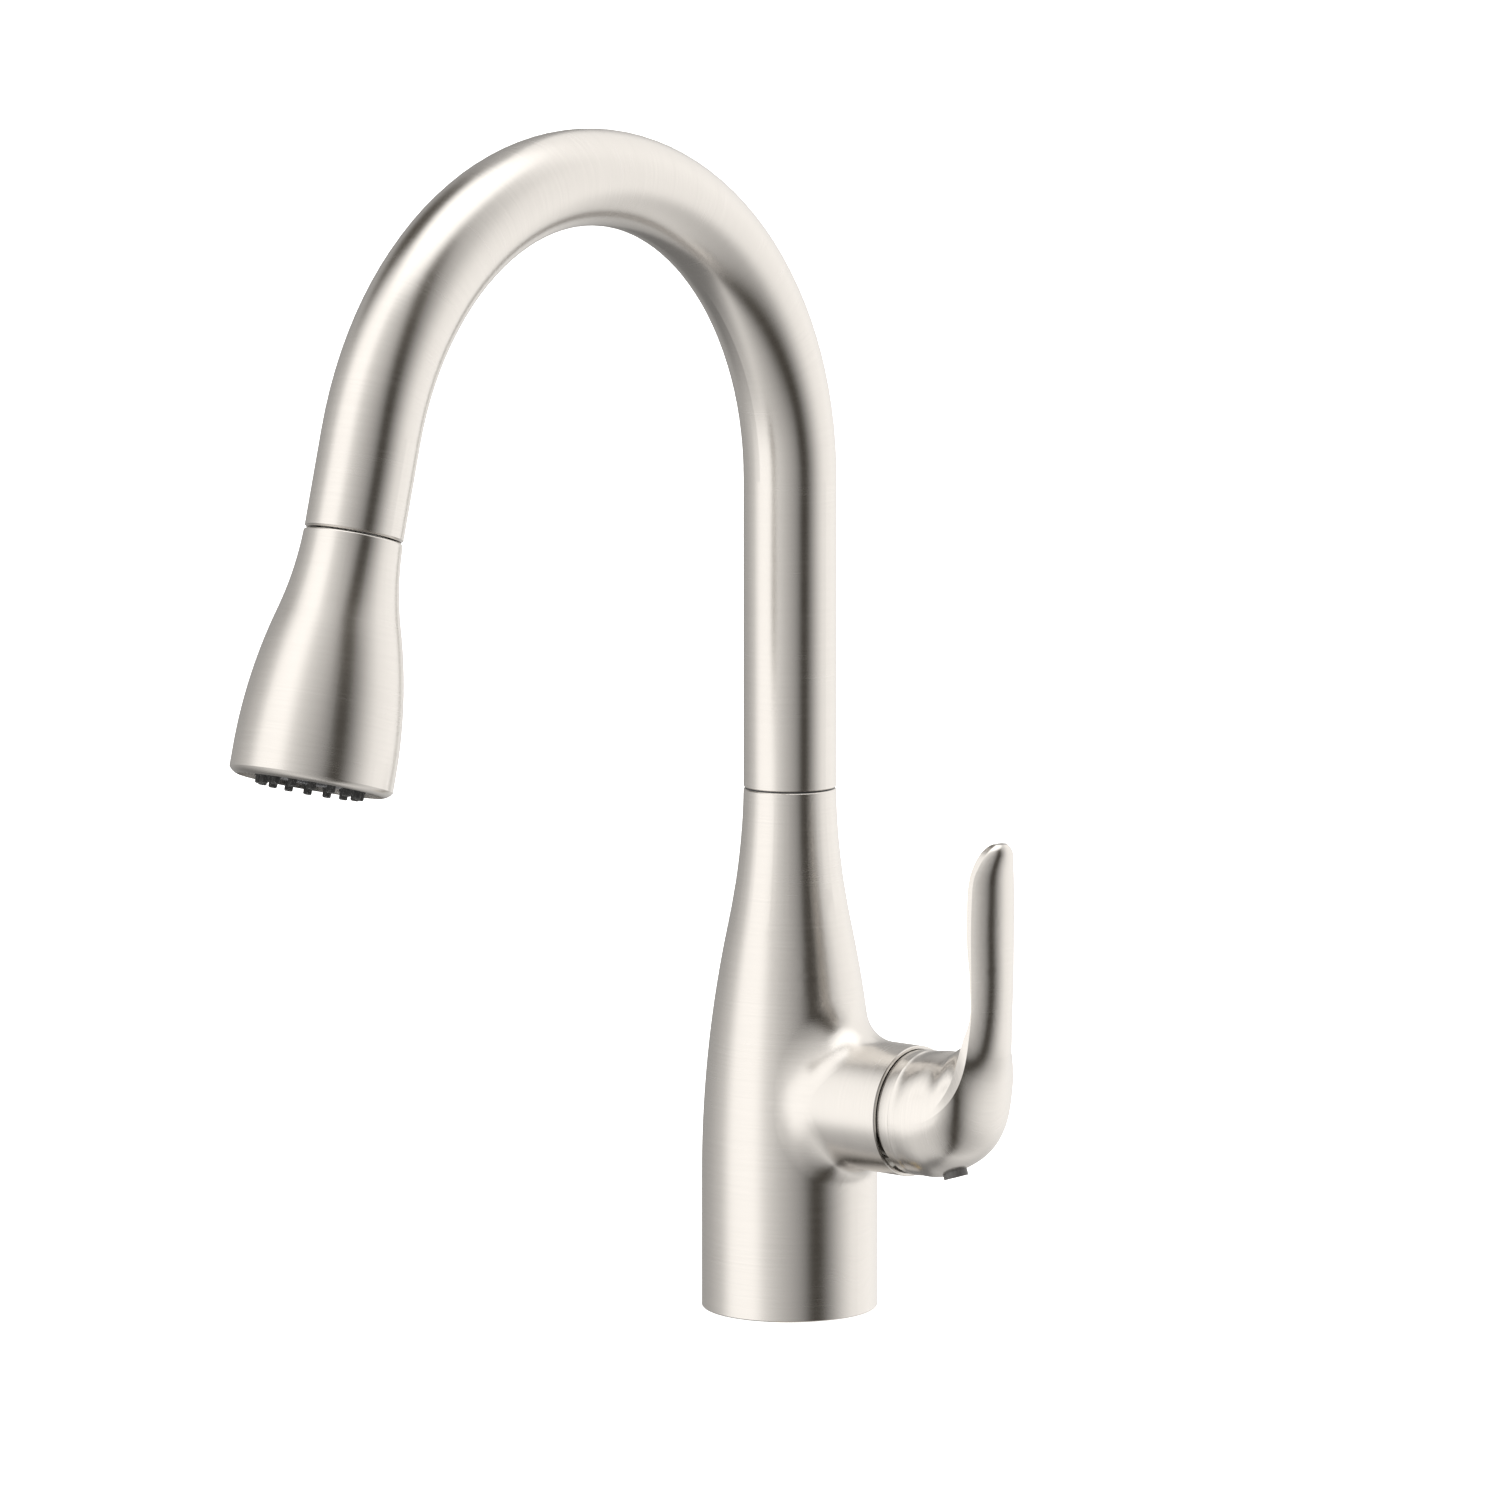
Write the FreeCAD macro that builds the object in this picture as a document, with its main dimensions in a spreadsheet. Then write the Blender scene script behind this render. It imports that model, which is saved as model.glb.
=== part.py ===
import FreeCAD, Part
import math
import os
import Sketcher

# Pull-down kitchen faucet, millimetres.  +Z is up, the origin is the middle of the
# base on the deck plane, the spout reaches towards -Y and the lever is on the +X side.

os.makedirs("parts", exist_ok=True)
doc = FreeCAD.newDocument("pull_down_faucet")
sheet = doc.addObject("Spreadsheet::Sheet", "sizes")
sheet.Label = "sizes"


# ---------------------------------------------------------------- named sizes

class Size:
    """A length or an angle: its present value, and the text of its expression."""

    def __init__(self, value, text):
        self.value = value
        self.text = text

    def joined(self, other, sign, value):
        return Size(value, "(" + self.text + " " + sign + " " + other.text + ")")

    def __add__(self, other):
        other = sized(other)
        return self.joined(other, "+", self.value + other.value)

    def __sub__(self, other):
        other = sized(other)
        return self.joined(other, "-", self.value - other.value)

    def __mul__(self, other):
        other = sized(other)
        return self.joined(other, "*", self.value * other.value)

    def __truediv__(self, other):
        other = sized(other)
        return self.joined(other, "/", self.value / other.value)

    def __radd__(self, other):
        return sized(other) + self

    def __rsub__(self, other):
        return sized(other) - self

    def __rmul__(self, other):
        return sized(other) * self

    def __neg__(self):
        return sized(0.0) - self


def sized(value):
    if isinstance(value, Size):
        return value
    return Size(float(value), repr(float(value)))


def root(size):
    return Size(math.sqrt(size.value), "sqrt(" + size.text + ")")


def sine(angle):
    return Size(math.sin(math.radians(angle.value)), "sin(" + angle.text + " * 1 deg)")


def cosine(angle):
    return Size(math.cos(math.radians(angle.value)), "cos(" + angle.text + " * 1 deg)")


class Sizes:
    """Every named size, kept in the sheet and read back by its own name."""

    def __init__(self):
        self.row = 0

    def add(self, name, value):
        self.row += 1
        sheet.set("A" + str(self.row), name)
        sheet.set("B" + str(self.row), str(value))
        sheet.setAlias("B" + str(self.row), name)
        setattr(self, name, Size(float(value), "sizes." + name))


d = Sizes()
for name, value in [
    # fixed body
    ("base_radius", 28.6), ("base_straight", 43.4), ("waist_radius", 19.96),
    ("waist_height", 126.0), ("seam_height", 170.0), ("tube_radius", 15.0),
    ("edge_break", 0.3),
    ("recess_radius", 24.0), ("recess_depth", 44.0), ("hose_passage", 10.5),
    ("swivel_bore_floor", 128.0),
    ("inlet_radius", 4.2), ("inlet_depth", 9.0), ("inlet_spread", 16.4),
    ("inlet_offset", -3.0),
    # side hub that carries the valve
    ("hub_height", 70.0), ("hub_radius", 21.1), ("hub_reach", 52.0),
    ("blend_top", 16.0), ("blend_side", 26.0), ("blend_bottom", 6.0), ("rim_bore_floor", 44.0),
    ("valve_bore", 17.6), ("valve_floor", 14.0),
    # deck fixing
    ("gasket_thick", 2.0), ("gasket_gap", 0.1),
    ("shank_radius", 16.5), ("shank_bore", 13.0), ("shank_length", 60.0),
    ("shank_plain", 32.0), ("flange_thick", 5.0), ("thread_depth", 0.6), ("thread_step", 0.2),
    ("thread_pitch", 1.5), ("thread_turns", 16),
    # valve cartridge
    ("valve_shoulder", 38.0), ("neck_radius", 14.0),
    ("neck_bore", 12.4), ("neck_lip_bore", 9.5), ("neck_lip", 1.4),
    ("neck_end", 59.4), ("chamber_radius", 14.5), ("plate_thick", 3.0),
    ("fixed_disc_thick", 4.0), ("disc_gap", 0.05), ("moving_disc_radius", 10.0),
    ("moving_disc_thick", 4.0), ("disc_drop", 3.8), ("port_radius", 2.4),
    ("port_circle", 7.6), ("carrier_start", 38.3),
    ("carrier_end", 57.7), ("slider_end", 36.5), ("slider_boss", 5.2),
    ("socket_radius", 3.3), ("valve_nut_start", 38.2), ("valve_nut_end", 43.6),
    ("thread_fit", 0.05),
    # lever pivot, and the stem between the lever and the discs
    ("pivot_reach", 56.0), ("pivot_pin_radius", 1.5), ("pin_fit", 0.05),
    ("pivot_pin_length", 22.0), ("stem_radius", 4.0), ("stem_lower_radius", 2.5),
    ("stem_step", 48.0), ("stem_end", 76.0), ("ball_radius", 3.0), ("ball_arm", 22.0),
    ("slot_width", 8.3), ("slot_low", 5.8), ("slot_high", 9.8),
    # bonnet, the fixed half ball that the lever's dome turns over
    ("bonnet_radius", 17.6), ("bonnet_wall", 1.4), ("bonnet_skirt", 15.6),
    ("bonnet_end", 58.0), 
    ("bonnet_flange_thick", 2.3),
    # lever
    ("dome_rim", 51.6),
    ("rim_relief", 3.6), ("dome_end", 57.0), ("hollow_end", 65.5),
    ("stem_hole_depth", 76.4), ("elbow_reach", 69.0), ("elbow_radius", 12.1),
    ("elbow_height", 36.0), ("lever_top", 159.6),
    ("lever_half", 9.95), ("lever_crown", 7.0), ("lever_back_crown", 0.7),
    ("lever_flank", 1.8),
    ("screw_radius", 2.5), ("screw_length", 7.0), ("screw_reach", 69.0),
    ("plug_radius", 4.0), ("plug_depth", 3.0), ("plug_gap", 0.15),
    ("plug_level", 19.5), ("plug_lean", 18.0),
    # spout
    ("seam_gap", 0.5), ("tube_wall", 1.6), ("bend_start", 270.0),
    ("bend_radius", 100.0), ("bend_angle", 165.0), ("tail_length", 30.4),
    ("tail_bevel", 0.6), ("collar_radius", 12.55), 
    ("collar_bottom", 130.0), ("collar_top", 196.0), ("ring_thick", 1.8),
    ("ring_low", 149.0), ("ring_high", 160.0), ("ring_depth", 1.8),
    ("keeper_height", 140.0), ("keeper_groove", 11.2), ("keeper_width", 4.4),
    ("keeper_radius", 2.0), ("keeper_tip_radius", 1.4), ("keeper_gap", 0.4),
    ("keeper_end", 17.2),
    # docking end of the spout, measured up the tube from its end
    ("dock_gap", 0.5), ("guide_length", 13.0), 
    ("magnet_length", 6.0), 
    # hose and its swivelling end
    ("hose_radius", 6.6), ("hose_bore", 4.2), ("hose_bottom", -58.0),
    ("hose_end", -18.0), ("ferrule_fit", 0.1),
    ("ferrule_top", -30.0), ("ferrule_bottom", -16.0), 
    ("nut_bottom", -4.4), ("spigot_radius", 6.6), ("spigot_end", 6.0),
    ("spigot_fit", 0.06), ("washer_thick", 1.5), ("washer_bore", 3.8),
    # spray head, measured along its axis from the end of the spout
    ("head_waist_radius", 18.78), ("head_waist", 25.3),
    ("head_radius", 24.7), ("head_straight", 68.2), ("head_corner", 73.8),
    ("face_radius", 22.1), ("face_end", 75.75), ("head_wall", 1.8),
    ("top_round", 0.7), ("head_collar_top", -12.0),
    ("head_collar_bottom", 7.8), ("strike_thick", 0.8), ("nut_clear", 0.3),
    ("waterway_radius", 12.0), ("waterway_bore", 6.0), ("waterway_end", 34.0),
    ("valve_seat", 12.0), ("check_length", 12.0),
    ("diverter_radius", 15.5), ("diverter_end", 62.0), ("diverter_bore", 8.0),
    ("plunger_radius", 2.5), ("plunger_line", 11.6), ("plunger_start", 46.5),
    ("plunger_end", 58.5), ("plunger_fit", 0.06),
    ("plate_start", 70.5), ("plate_end", 74.4), ("plate_centre_bore", 9.4),
    ("nub_circle", 15.1), ("nub_radius", 1.32), ("nub_base_radius", 1.6),
    ("nub_end", 77.6), ("nub_step", 75.3), ("nub_count", 16),
    ("nub_sheet_thick", 1.4), ("aerator_start", 64.0), ("aerator_end", 75.0),
    ("aerator_bore", 7.6), ("mesh_start", 71.5), ("mesh_thick", 1.2),
    ("mesh_hole", 0.7), ("mesh_spread", 5.4),
    # rocker of the spray head
    ("rocker_pivot", 53.0), ("rocker_line", 19.6), ("rocker_width", 12.0),
    ("rocker_half", 11.0), ("rocker_gap", 0.8), ("rocker_proud", 0.9),
    ("rocker_thick", 2.6), ("rocker_pin_radius", 1.0), ("rocker_pin_length", 10.0),
    ("finger_width", 3.4), ("finger_thick", 1.6), ("finger_reach", 12.6),
    ("finger_play", 0.25), ("ear_width", 2.4),
    # clearances between pieces that fit, one for each kind of fit
    ("close_fit", 0.08), ("running_fit", 0.1), ("slip_fit", 0.2), ("loose_fit", 0.5),
    ("dome_play", 0.4), ("dome_tuck", 0.1), ("rim_wall", 1.0), ("keeper_set_back", 0.25),
    ("head_proud", 0.05), ("ferrule_wall", 1.6), ("collar_room", 2.3),
]:
    d.add(name, value)
doc.recompute()

# Sizes set by the piece that each one fits.
d.rim_bore = d.hub_radius - d.rim_wall
d.dome_radius = d.rim_bore + d.dome_tuck
d.bonnet_flange = d.rim_bore - d.slip_fit
d.dome_bore = d.bonnet_radius + d.dome_play
d.bonnet_skirt_bore = d.neck_radius + d.slip_fit
d.valve_nut_bore = d.neck_radius + d.slip_fit
d.valve_radius = d.valve_bore - d.running_fit
d.carrier_radius = d.neck_bore - d.close_fit
d.swivel_bore = d.collar_radius + d.running_fit
d.keeper_step = d.swivel_bore + d.keeper_set_back
d.gasket_inner = d.shank_radius + d.loose_fit
d.ferrule_radius = d.hose_radius + d.ferrule_wall
d.nut_radius = d.ferrule_radius + d.slip_fit
d.guide_bore = d.nut_radius + d.collar_room
d.magnet_bore = d.guide_bore + d.slip_fit
d.head_collar_radius = d.guide_bore - d.loose_fit
d.collar_bore = d.nut_radius + d.dome_play
d.check_radius = d.waterway_bore - d.running_fit
d.head_top_radius = d.tube_radius + d.head_proud


# ---------------------------------------------------------------- frames

BASE = "base"      # local Z is the row's Z
HUB = "hub"        # local Z runs out along +X at the hub's height
HEAD = "head"      # local Z runs down the spray head from the end of the spout

head_y = -d.bend_radius + d.bend_radius * cosine(d.bend_angle) - d.tail_length * sine(d.bend_angle)
head_z = d.bend_start + d.bend_radius * sine(d.bend_angle) + d.tail_length * cosine(d.bend_angle)


def spot(frame, along=0.0, side=0.0, front=0.0):
    """Where a point of a frame lies in the row: along its Z, and to its X or Y side."""
    along, side, front = sized(along), sized(side), sized(front)
    if frame == BASE:
        return side, front, along
    if frame == HUB:
        return along, front, d.hub_height - side
    return (
        side,
        head_y + front * cosine(d.bend_angle) - along * sine(d.bend_angle),
        head_z + front * sine(d.bend_angle) + along * cosine(d.bend_angle))


def lay(thing, place, axis, angle):
    """Turn a thing by a plain angle about an axis and move it to a spot."""
    turn = FreeCAD.Rotation(FreeCAD.Vector(*axis), angle)
    thing.Placement = FreeCAD.Placement(
        FreeCAD.Vector(*[sized(p).value for p in place]), turn)
    for letter, size in zip("xyz", place):
        thing.setExpression("Placement.Base." + letter, sized(size).text)
    return thing


def put(thing, frame, along=0.0, side=0.0, front=0.0):
    """Place a thing in a frame, turned with it."""
    place = spot(frame, along, side, front)
    if frame == BASE:
        return lay(thing, place, (0, 0, 1), 0)
    if frame == HUB:
        return lay(thing, place, (0, 1, 0), 90)
    lay(thing, place, (1, 0, 0), d.bend_angle.value)
    thing.setExpression("Placement.Rotation.Angle", d.bend_angle.text)
    return thing


# ---------------------------------------------------------------- sketching

class Arc:
    """An arc to the next corner; centre on the left (+1) or right (-1) of the way there."""

    def __init__(self, radius, side, tangent=False):
        self.radius = sized(radius)
        self.side = side
        self.tangent = tangent


def arc_between(start, end, radius, side):
    a = FreeCAD.Vector(start[0].value, start[1].value, 0)
    b = FreeCAD.Vector(end[0].value, end[1].value, 0)
    middle = (a + b) / 2
    way = b - a
    left = FreeCAD.Vector(-way.y, way.x, 0) / way.Length
    rise = math.sqrt(max(radius ** 2 - (way.Length / 2) ** 2, 0.0))
    centre = middle + left * rise * side
    first, last = (a, b) if side > 0 else (b, a)
    angles = [math.atan2(p.y - centre.y, p.x - centre.x) for p in (first, last)]
    circle = Part.Circle(centre, FreeCAD.Vector(0, 0, 1), radius)
    return Part.ArcOfCircle(circle, angles[0], angles[1])


def outline(sketch, corners):
    """Draw a closed outline.  Corners are (x, y) sizes, with an Arc between two of them."""
    points = []
    arcs = {}
    for item in corners:
        if isinstance(item, Arc):
            arcs[len(points) - 1] = item
        else:
            points.append((sized(item[0]), sized(item[1])))
    count = len(points)
    made = []
    for i, point in enumerate(points):
        after = points[(i + 1) % count]
        if i in arcs:
            curve = arc_between(point, after, arcs[i].radius.value, arcs[i].side)
            ends = (1, 2) if arcs[i].side > 0 else (2, 1)
        else:
            curve = Part.LineSegment(
                FreeCAD.Vector(point[0].value, point[1].value, 0),
                FreeCAD.Vector(after[0].value, after[1].value, 0))
            ends = (1, 2)
        made.append((sketch.addGeometry(curve, False), ends))
    for i, point in enumerate(points):
        curve, ends = made[i]
        before, before_ends = made[i - 1]
        if i in arcs and arcs[i].tangent:
            sketch.addConstraint(
                Sketcher.Constraint("Tangent", before, before_ends[1], curve, ends[0]))
        else:
            sketch.addConstraint(
                Sketcher.Constraint("Coincident", before, before_ends[1], curve, ends[0]))
        for kind, size in zip(("DistanceX", "DistanceY"), point):
            if size.value == 0.0 and not size.text.count("sizes."):
                on = -2 if kind == "DistanceX" else -1
                sketch.addConstraint(Sketcher.Constraint("PointOnObject", curve, ends[0], on))
                continue
            at = sketch.addConstraint(
                Sketcher.Constraint(kind, -1, 1, curve, ends[0], size.value))
            sketch.setExpression("Constraints[" + str(at) + "]", size.text)
        if i in arcs and not arcs[i].tangent:
            at = sketch.addConstraint(
                Sketcher.Constraint("Radius", curve, arcs[i].radius.value))
            sketch.setExpression("Constraints[" + str(at) + "]", arcs[i].radius.text)


def circle_in(sketch, x, y, radius):
    """Draw a circle, its centre and radius bound to sizes."""
    x, y, radius = sized(x), sized(y), sized(radius)
    middle = FreeCAD.Vector(x.value, y.value, 0)
    curve = sketch.addGeometry(
        Part.Circle(middle, FreeCAD.Vector(0, 0, 1), radius.value), False)
    at = sketch.addConstraint(Sketcher.Constraint("Radius", curve, radius.value))
    sketch.setExpression("Constraints[" + str(at) + "]", radius.text)
    for kind, size in (("DistanceX", x), ("DistanceY", y)):
        if size.value == 0.0:
            on = -2 if kind == "DistanceX" else -1
            sketch.addConstraint(Sketcher.Constraint("PointOnObject", curve, 3, on))
            continue
        at = sketch.addConstraint(Sketcher.Constraint(kind, -1, 1, curve, 3, size.value))
        sketch.setExpression("Constraints[" + str(at) + "]", size.text)


def origin_item(body, role):
    for item in body.Origin.OriginFeatures:
        if item.Role == role:
            return item
    raise ValueError("no " + role + " in " + body.Label)


def sketch_on(body, plane, lift=None):
    """A sketch on one of the body's own planes, lifted off it by a size."""
    sketch = body.newObject("Sketcher::SketchObject", body.Name + "_sketch")
    sketch.AttachmentSupport = [(origin_item(body, plane), "")]
    sketch.MapMode = "FlatFace"
    if lift is not None:
        lift = sized(lift)
        sketch.AttachmentOffset = FreeCAD.Placement(
            FreeCAD.Vector(0, 0, lift.value), FreeCAD.Rotation())
        sketch.setExpression("AttachmentOffset.Base.z", lift.text)
    return sketch


def new_body(name, frame=BASE):
    body = doc.addObject("PartDesign::Body", name)
    body.Label = name
    put(body, frame)
    return body


def turned(body, corners, cut=False):
    """Revolve an outline drawn as (radius, distance along the body's Z) a full turn."""
    sketch = sketch_on(body, "XZ_Plane")
    outline(sketch, corners)
    kind = "PartDesign::Groove" if cut else "PartDesign::Revolution"
    feature = body.newObject(kind, body.Name + ("_groove" if cut else "_turned"))
    feature.Profile = sketch
    feature.ReferenceAxis = (sketch, ["V_Axis"])
    feature.Angle = 360
    doc.recompute()
    return feature


def turned_body(name, corners, frame=BASE):
    body = new_body(name, frame)
    turned(body, corners)
    return body


def ring_corners(inner, outer, low, high):
    return [(inner, low), (outer, low), (outer, high), (inner, high)]


def rod(name, radius, length, frame, along=0.0, side=0.0, front=0.0):
    """A plain cylinder along the frame's Z."""
    thing = doc.addObject("Part::Cylinder", name)
    thing.setExpression("Radius", sized(radius).text)
    thing.setExpression("Height", sized(length).text)
    put(thing, frame, along, side, front)
    return thing


def block(name, side_low, side_high, front_low, front_high, low, high, frame):
    """A box between two corners in a frame."""
    thing = doc.addObject("Part::Box", name)
    thing.setExpression("Length", (sized(side_high) - side_low).text)
    thing.setExpression("Width", (sized(front_high) - front_low).text)
    thing.setExpression("Height", (sized(high) - low).text)
    put(thing, frame, low, side_low, front_low)
    return thing


def cut(name, base, tools):
    """The base with every tool taken away; each tool must remove something."""
    doc.recompute()
    for number, tool in enumerate(tools):
        volume = base.Shape.Volume
        result = doc.addObject("Part::Cut", name + "_cut" + str(number))
        result.Base = base
        result.Tool = tool
        doc.recompute()
        if not result.Shape.Volume < volume - 1e-3:
            raise ValueError(tool.Label + " takes nothing from " + name)
        base = result
    base.Label = name
    return base


def joined(name, things):
    result = doc.addObject("Part::MultiFuse", name + "_joined")
    result.Shapes = things
    doc.recompute()
    result.Label = name
    return result


def common(name, one, other):
    result = doc.addObject("Part::Common", name + "_common")
    result.Base = one
    result.Tool = other
    doc.recompute()
    result.Label = name
    return result


nodes = []


def keep(name, thing):
    """Give a finished piece its own name and put it on the list to write."""
    thing.Label = name
    nodes.append((name, thing))
    return thing


# ---------------------------------------------------------------- fixed body

# The body is one casting: a round foot that waists in to the spout's own diameter,
# with a side hub for the valve.  It is hollow from below and bored for the swivel.
body = new_body("body_blank")
turned(body, [
    (0, 0), (d.base_radius - d.edge_break, 0), (d.base_radius, d.edge_break),
    (d.base_radius, d.base_straight), Arc(399.4, 1, tangent=True),
    (d.waist_radius, d.waist_height), Arc(230.3, -1, tangent=True),
    (d.tube_radius, d.seam_height - d.edge_break),
    (d.tube_radius - d.edge_break, d.seam_height), (0, d.seam_height)])

hub_sketch = sketch_on(body, "YZ_Plane")
hub_top = d.hub_height + d.hub_radius
hub_bottom = d.hub_height - d.hub_radius
outline(hub_sketch, [
    (0, hub_top), Arc(d.hub_radius, 1), (-d.hub_radius, d.hub_height), Arc(d.hub_radius, 1),
    (0, hub_bottom), Arc(d.hub_radius, 1), (d.hub_radius, d.hub_height), Arc(d.hub_radius, 1)])
hub = body.newObject("PartDesign::Pad", "faucet_body_hub")
hub.Profile = hub_sketch
hub.setExpression("Length", d.hub_reach.text)
hub.Refine = False    # keeps the hub's four quarters apart for the blend
doc.recompute()

rim_edges = []
for number, edge in enumerate(hub.Shape.Edges, 1):
    if all(abs(p.x - d.hub_reach.value) < 0.01 for p in edge.discretize(5)):
        rim_edges.append("Edge" + str(number))
rim = body.newObject("PartDesign::Chamfer", "faucet_body_rim")
rim.Base = (hub, rim_edges)
rim.setExpression("Size", d.edge_break.text)
rim.Refine = False
doc.recompute()


def blend_edges(shape):
    """Each quarter of the hub's root, with its radius at its first and last corner."""
    found = []
    for number, edge in enumerate(shape.Edges, 1):
        points = edge.discretize(9)
        off = [math.hypot(p.y, p.z - d.hub_height.value) - d.hub_radius.value for p in points]
        if max(abs(o) for o in off) > 0.01 or max(p.x for p in points) > d.hub_reach.value - 1:
            continue
        if max(p.y for p in points) - min(p.y for p in points) < 1:
            continue
        radii = []
        for end in (edge.FirstParameter, edge.LastParameter):
            rise = edge.valueAt(end).z - d.hub_height.value
            if abs(rise) < 1:
                radii.append(d.blend_side.value)
            else:
                radii.append(d.blend_top.value if rise > 0 else d.blend_bottom.value)
        found.append((number, radii[0], radii[1]))
    if len(found) != 4:
        raise ValueError("the hub's root should have four quarters, not " + str(len(found)))
    return found


# The blend is widest beside the hub, and close under it.
blend = doc.addObject("Part::Fillet", "faucet_body_blend")
blend.Base = body
blend.Edges = blend_edges(body.Shape)
doc.recompute()

bores = turned_body("faucet_body_bores", [
    (0, -1), (d.recess_radius, -1), (d.recess_radius, d.recess_depth),
    (d.hose_passage, d.recess_depth), (d.hose_passage, d.swivel_bore_floor),
    (d.swivel_bore, d.swivel_bore_floor), (d.swivel_bore, d.seam_height + 1),
    (0, d.seam_height + 1)])
valve_bores = turned_body("faucet_body_valve_bores", [
    (0, d.valve_floor), (d.valve_bore, d.valve_floor), (d.valve_bore, d.rim_bore_floor),
    (d.rim_bore, d.rim_bore_floor), (d.rim_bore, d.hub_reach + 1), (0, d.hub_reach + 1)], HUB)
inlets = [rod("inlet" + str(number), d.inlet_radius, d.inlet_depth + 1, BASE,
              d.recess_depth - 1, d.inlet_offset, hand * d.inlet_spread)
          for number, hand in enumerate((1, -1))]
keeper_hole = doc.addObject("Part::Cylinder", "keeper_hole")
keeper_hole.setExpression("Radius", d.keeper_radius.text)
keeper_hole.setExpression("Height", d.keeper_end.text)
lay(keeper_hole, (0.0, 5.0, d.keeper_height), (1, 0, 0), -90)
keep("faucet_body", cut("faucet_body", blend, [bores, valve_bores, keeper_hole] + inlets))

gasket = turned_body("base_gasket", ring_corners(
    d.gasket_inner, d.recess_radius - d.gasket_gap, sized(0.0), d.gasket_thick))
keep("base_gasket", gasket)

# The shank drops through the deck hole: its flange closes the foot's recess.
shank = new_body("mounting_shank")
flange_top = d.gasket_thick + d.flange_thick
thread_top = d.shank_radius - d.thread_step
spigot_radius = d.gasket_inner - d.gasket_gap
turned(shank, [
    (d.shank_bore, -d.shank_length), (thread_top - 0.8, -d.shank_length),
    (thread_top, -d.shank_length + 0.8), (thread_top, -d.shank_plain - d.thread_step),
    (d.shank_radius, -d.shank_plain), (d.shank_radius, 0), (spigot_radius, 0),
    (spigot_radius, d.gasket_thick), (d.recess_radius, d.gasket_thick),
    (d.recess_radius, flange_top), (d.shank_bore, flange_top)])
groove_low = -d.shank_length + 2
thread = turned(shank, [
    (thread_top - d.thread_depth, groove_low),
    (thread_top + 0.2, groove_low - d.thread_pitch * 0.45),
    (thread_top + 0.2, groove_low + d.thread_pitch * 0.45)], cut=True)
thread_row = shank.newObject("PartDesign::LinearPattern", "mounting_shank_thread")
thread_row.Originals = [thread]
thread_row.Direction = (origin_item(shank, "Z_Axis"), [""])
thread_row.setExpression("Length", ((d.thread_turns - 1) * d.thread_pitch).text)
thread_row.setExpression("Occurrences", d.thread_turns.text)
shank.Tip = thread_row
doc.recompute()
keep("mounting_shank", shank)


# ---------------------------------------------------------------- valve cartridge

chamber_start = d.valve_floor + d.plate_thick
disc_start = chamber_start + d.fixed_disc_thick


def ports(name):
    """Drills for the hot, cold and mixed ways, through the plate and the fixed disc."""
    drills = []
    for number, angle in enumerate((60, 180, 300)):
        side = d.port_circle * math.cos(math.radians(angle))
        front = d.port_circle * math.sin(math.radians(angle))
        drills.append(rod(name + "_port" + str(number), d.port_radius,
                          d.plate_thick + d.fixed_disc_thick + 2, HUB,
                          d.valve_floor - 1, side, front))
    return drills


housing = turned_body("cartridge_blank", [
    (0, d.valve_floor), (d.valve_radius, d.valve_floor),
    (d.valve_radius, d.valve_shoulder), (d.neck_radius, d.valve_shoulder),
    (d.neck_radius, d.neck_end), (d.neck_lip_bore, d.neck_end),
    (d.neck_lip_bore, d.neck_end - d.neck_lip), (d.neck_bore, d.neck_end - d.neck_lip),
    (d.neck_bore, d.valve_shoulder - 1), (d.chamber_radius, d.valve_shoulder - 1),
    (d.chamber_radius, chamber_start), (0, chamber_start)], HUB)
keep("cartridge_housing", cut("cartridge_housing", housing, ports("housing")))

disc = turned_body("fixed_disc_blank", [
    (0, chamber_start), (d.chamber_radius, chamber_start),
    (d.chamber_radius, disc_start), (0, disc_start)], HUB)
keep("fixed_ceramic_disc", cut("fixed_ceramic_disc", disc, ports("disc")))

valve_nut = turned_body("cartridge_nut_blank", ring_corners(
    d.valve_nut_bore, d.valve_bore - d.thread_fit, d.valve_nut_start, d.valve_nut_end), HUB)
notches = []
for number in range(2):
    notch = doc.addObject("Part::Box", "nut_notch" + str(number))
    long_side = d.valve_bore * 2 + 2
    across = sized(3.0)
    sides = (long_side, across) if number else (across, long_side)
    notch.setExpression("Length", sides[0].text)
    notch.setExpression("Width", sides[1].text)
    notch.Height = 3
    put(notch, HUB, d.valve_nut_end - 1.6, -sides[0] / 2, -sides[1] / 2)
    notches.append(notch)
keep("cartridge_nut", cut("cartridge_nut", valve_nut, notches))

# The bonnet is a half ball about the lever's pivot, on a skirt and a flange.
bonnet_inner = d.bonnet_radius - d.bonnet_wall
skirt_reach = d.pivot_reach - root(d.bonnet_radius * d.bonnet_radius - d.bonnet_skirt * d.bonnet_skirt)
inner_reach = d.pivot_reach - root(
    bonnet_inner * bonnet_inner - d.bonnet_skirt_bore * d.bonnet_skirt_bore)
mouth_reach = d.bonnet_end - d.pivot_reach
mouth_outer = root(d.bonnet_radius * d.bonnet_radius - mouth_reach * mouth_reach)
mouth_inner = root(bonnet_inner * bonnet_inner - mouth_reach * mouth_reach)
flange_end = d.rim_bore_floor + d.bonnet_flange_thick
bonnet = turned_body("bonnet", [
    (d.bonnet_skirt_bore, d.rim_bore_floor), (d.bonnet_flange, d.rim_bore_floor),
    (d.bonnet_flange, flange_end), (d.bonnet_skirt, flange_end),
    (d.bonnet_skirt, skirt_reach), Arc(d.bonnet_radius, 1),
    (mouth_outer, d.bonnet_end), (mouth_inner, d.bonnet_end),
    Arc(bonnet_inner, -1),
    (d.bonnet_skirt_bore, inner_reach)], HUB)
keep("bonnet", bonnet)

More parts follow.
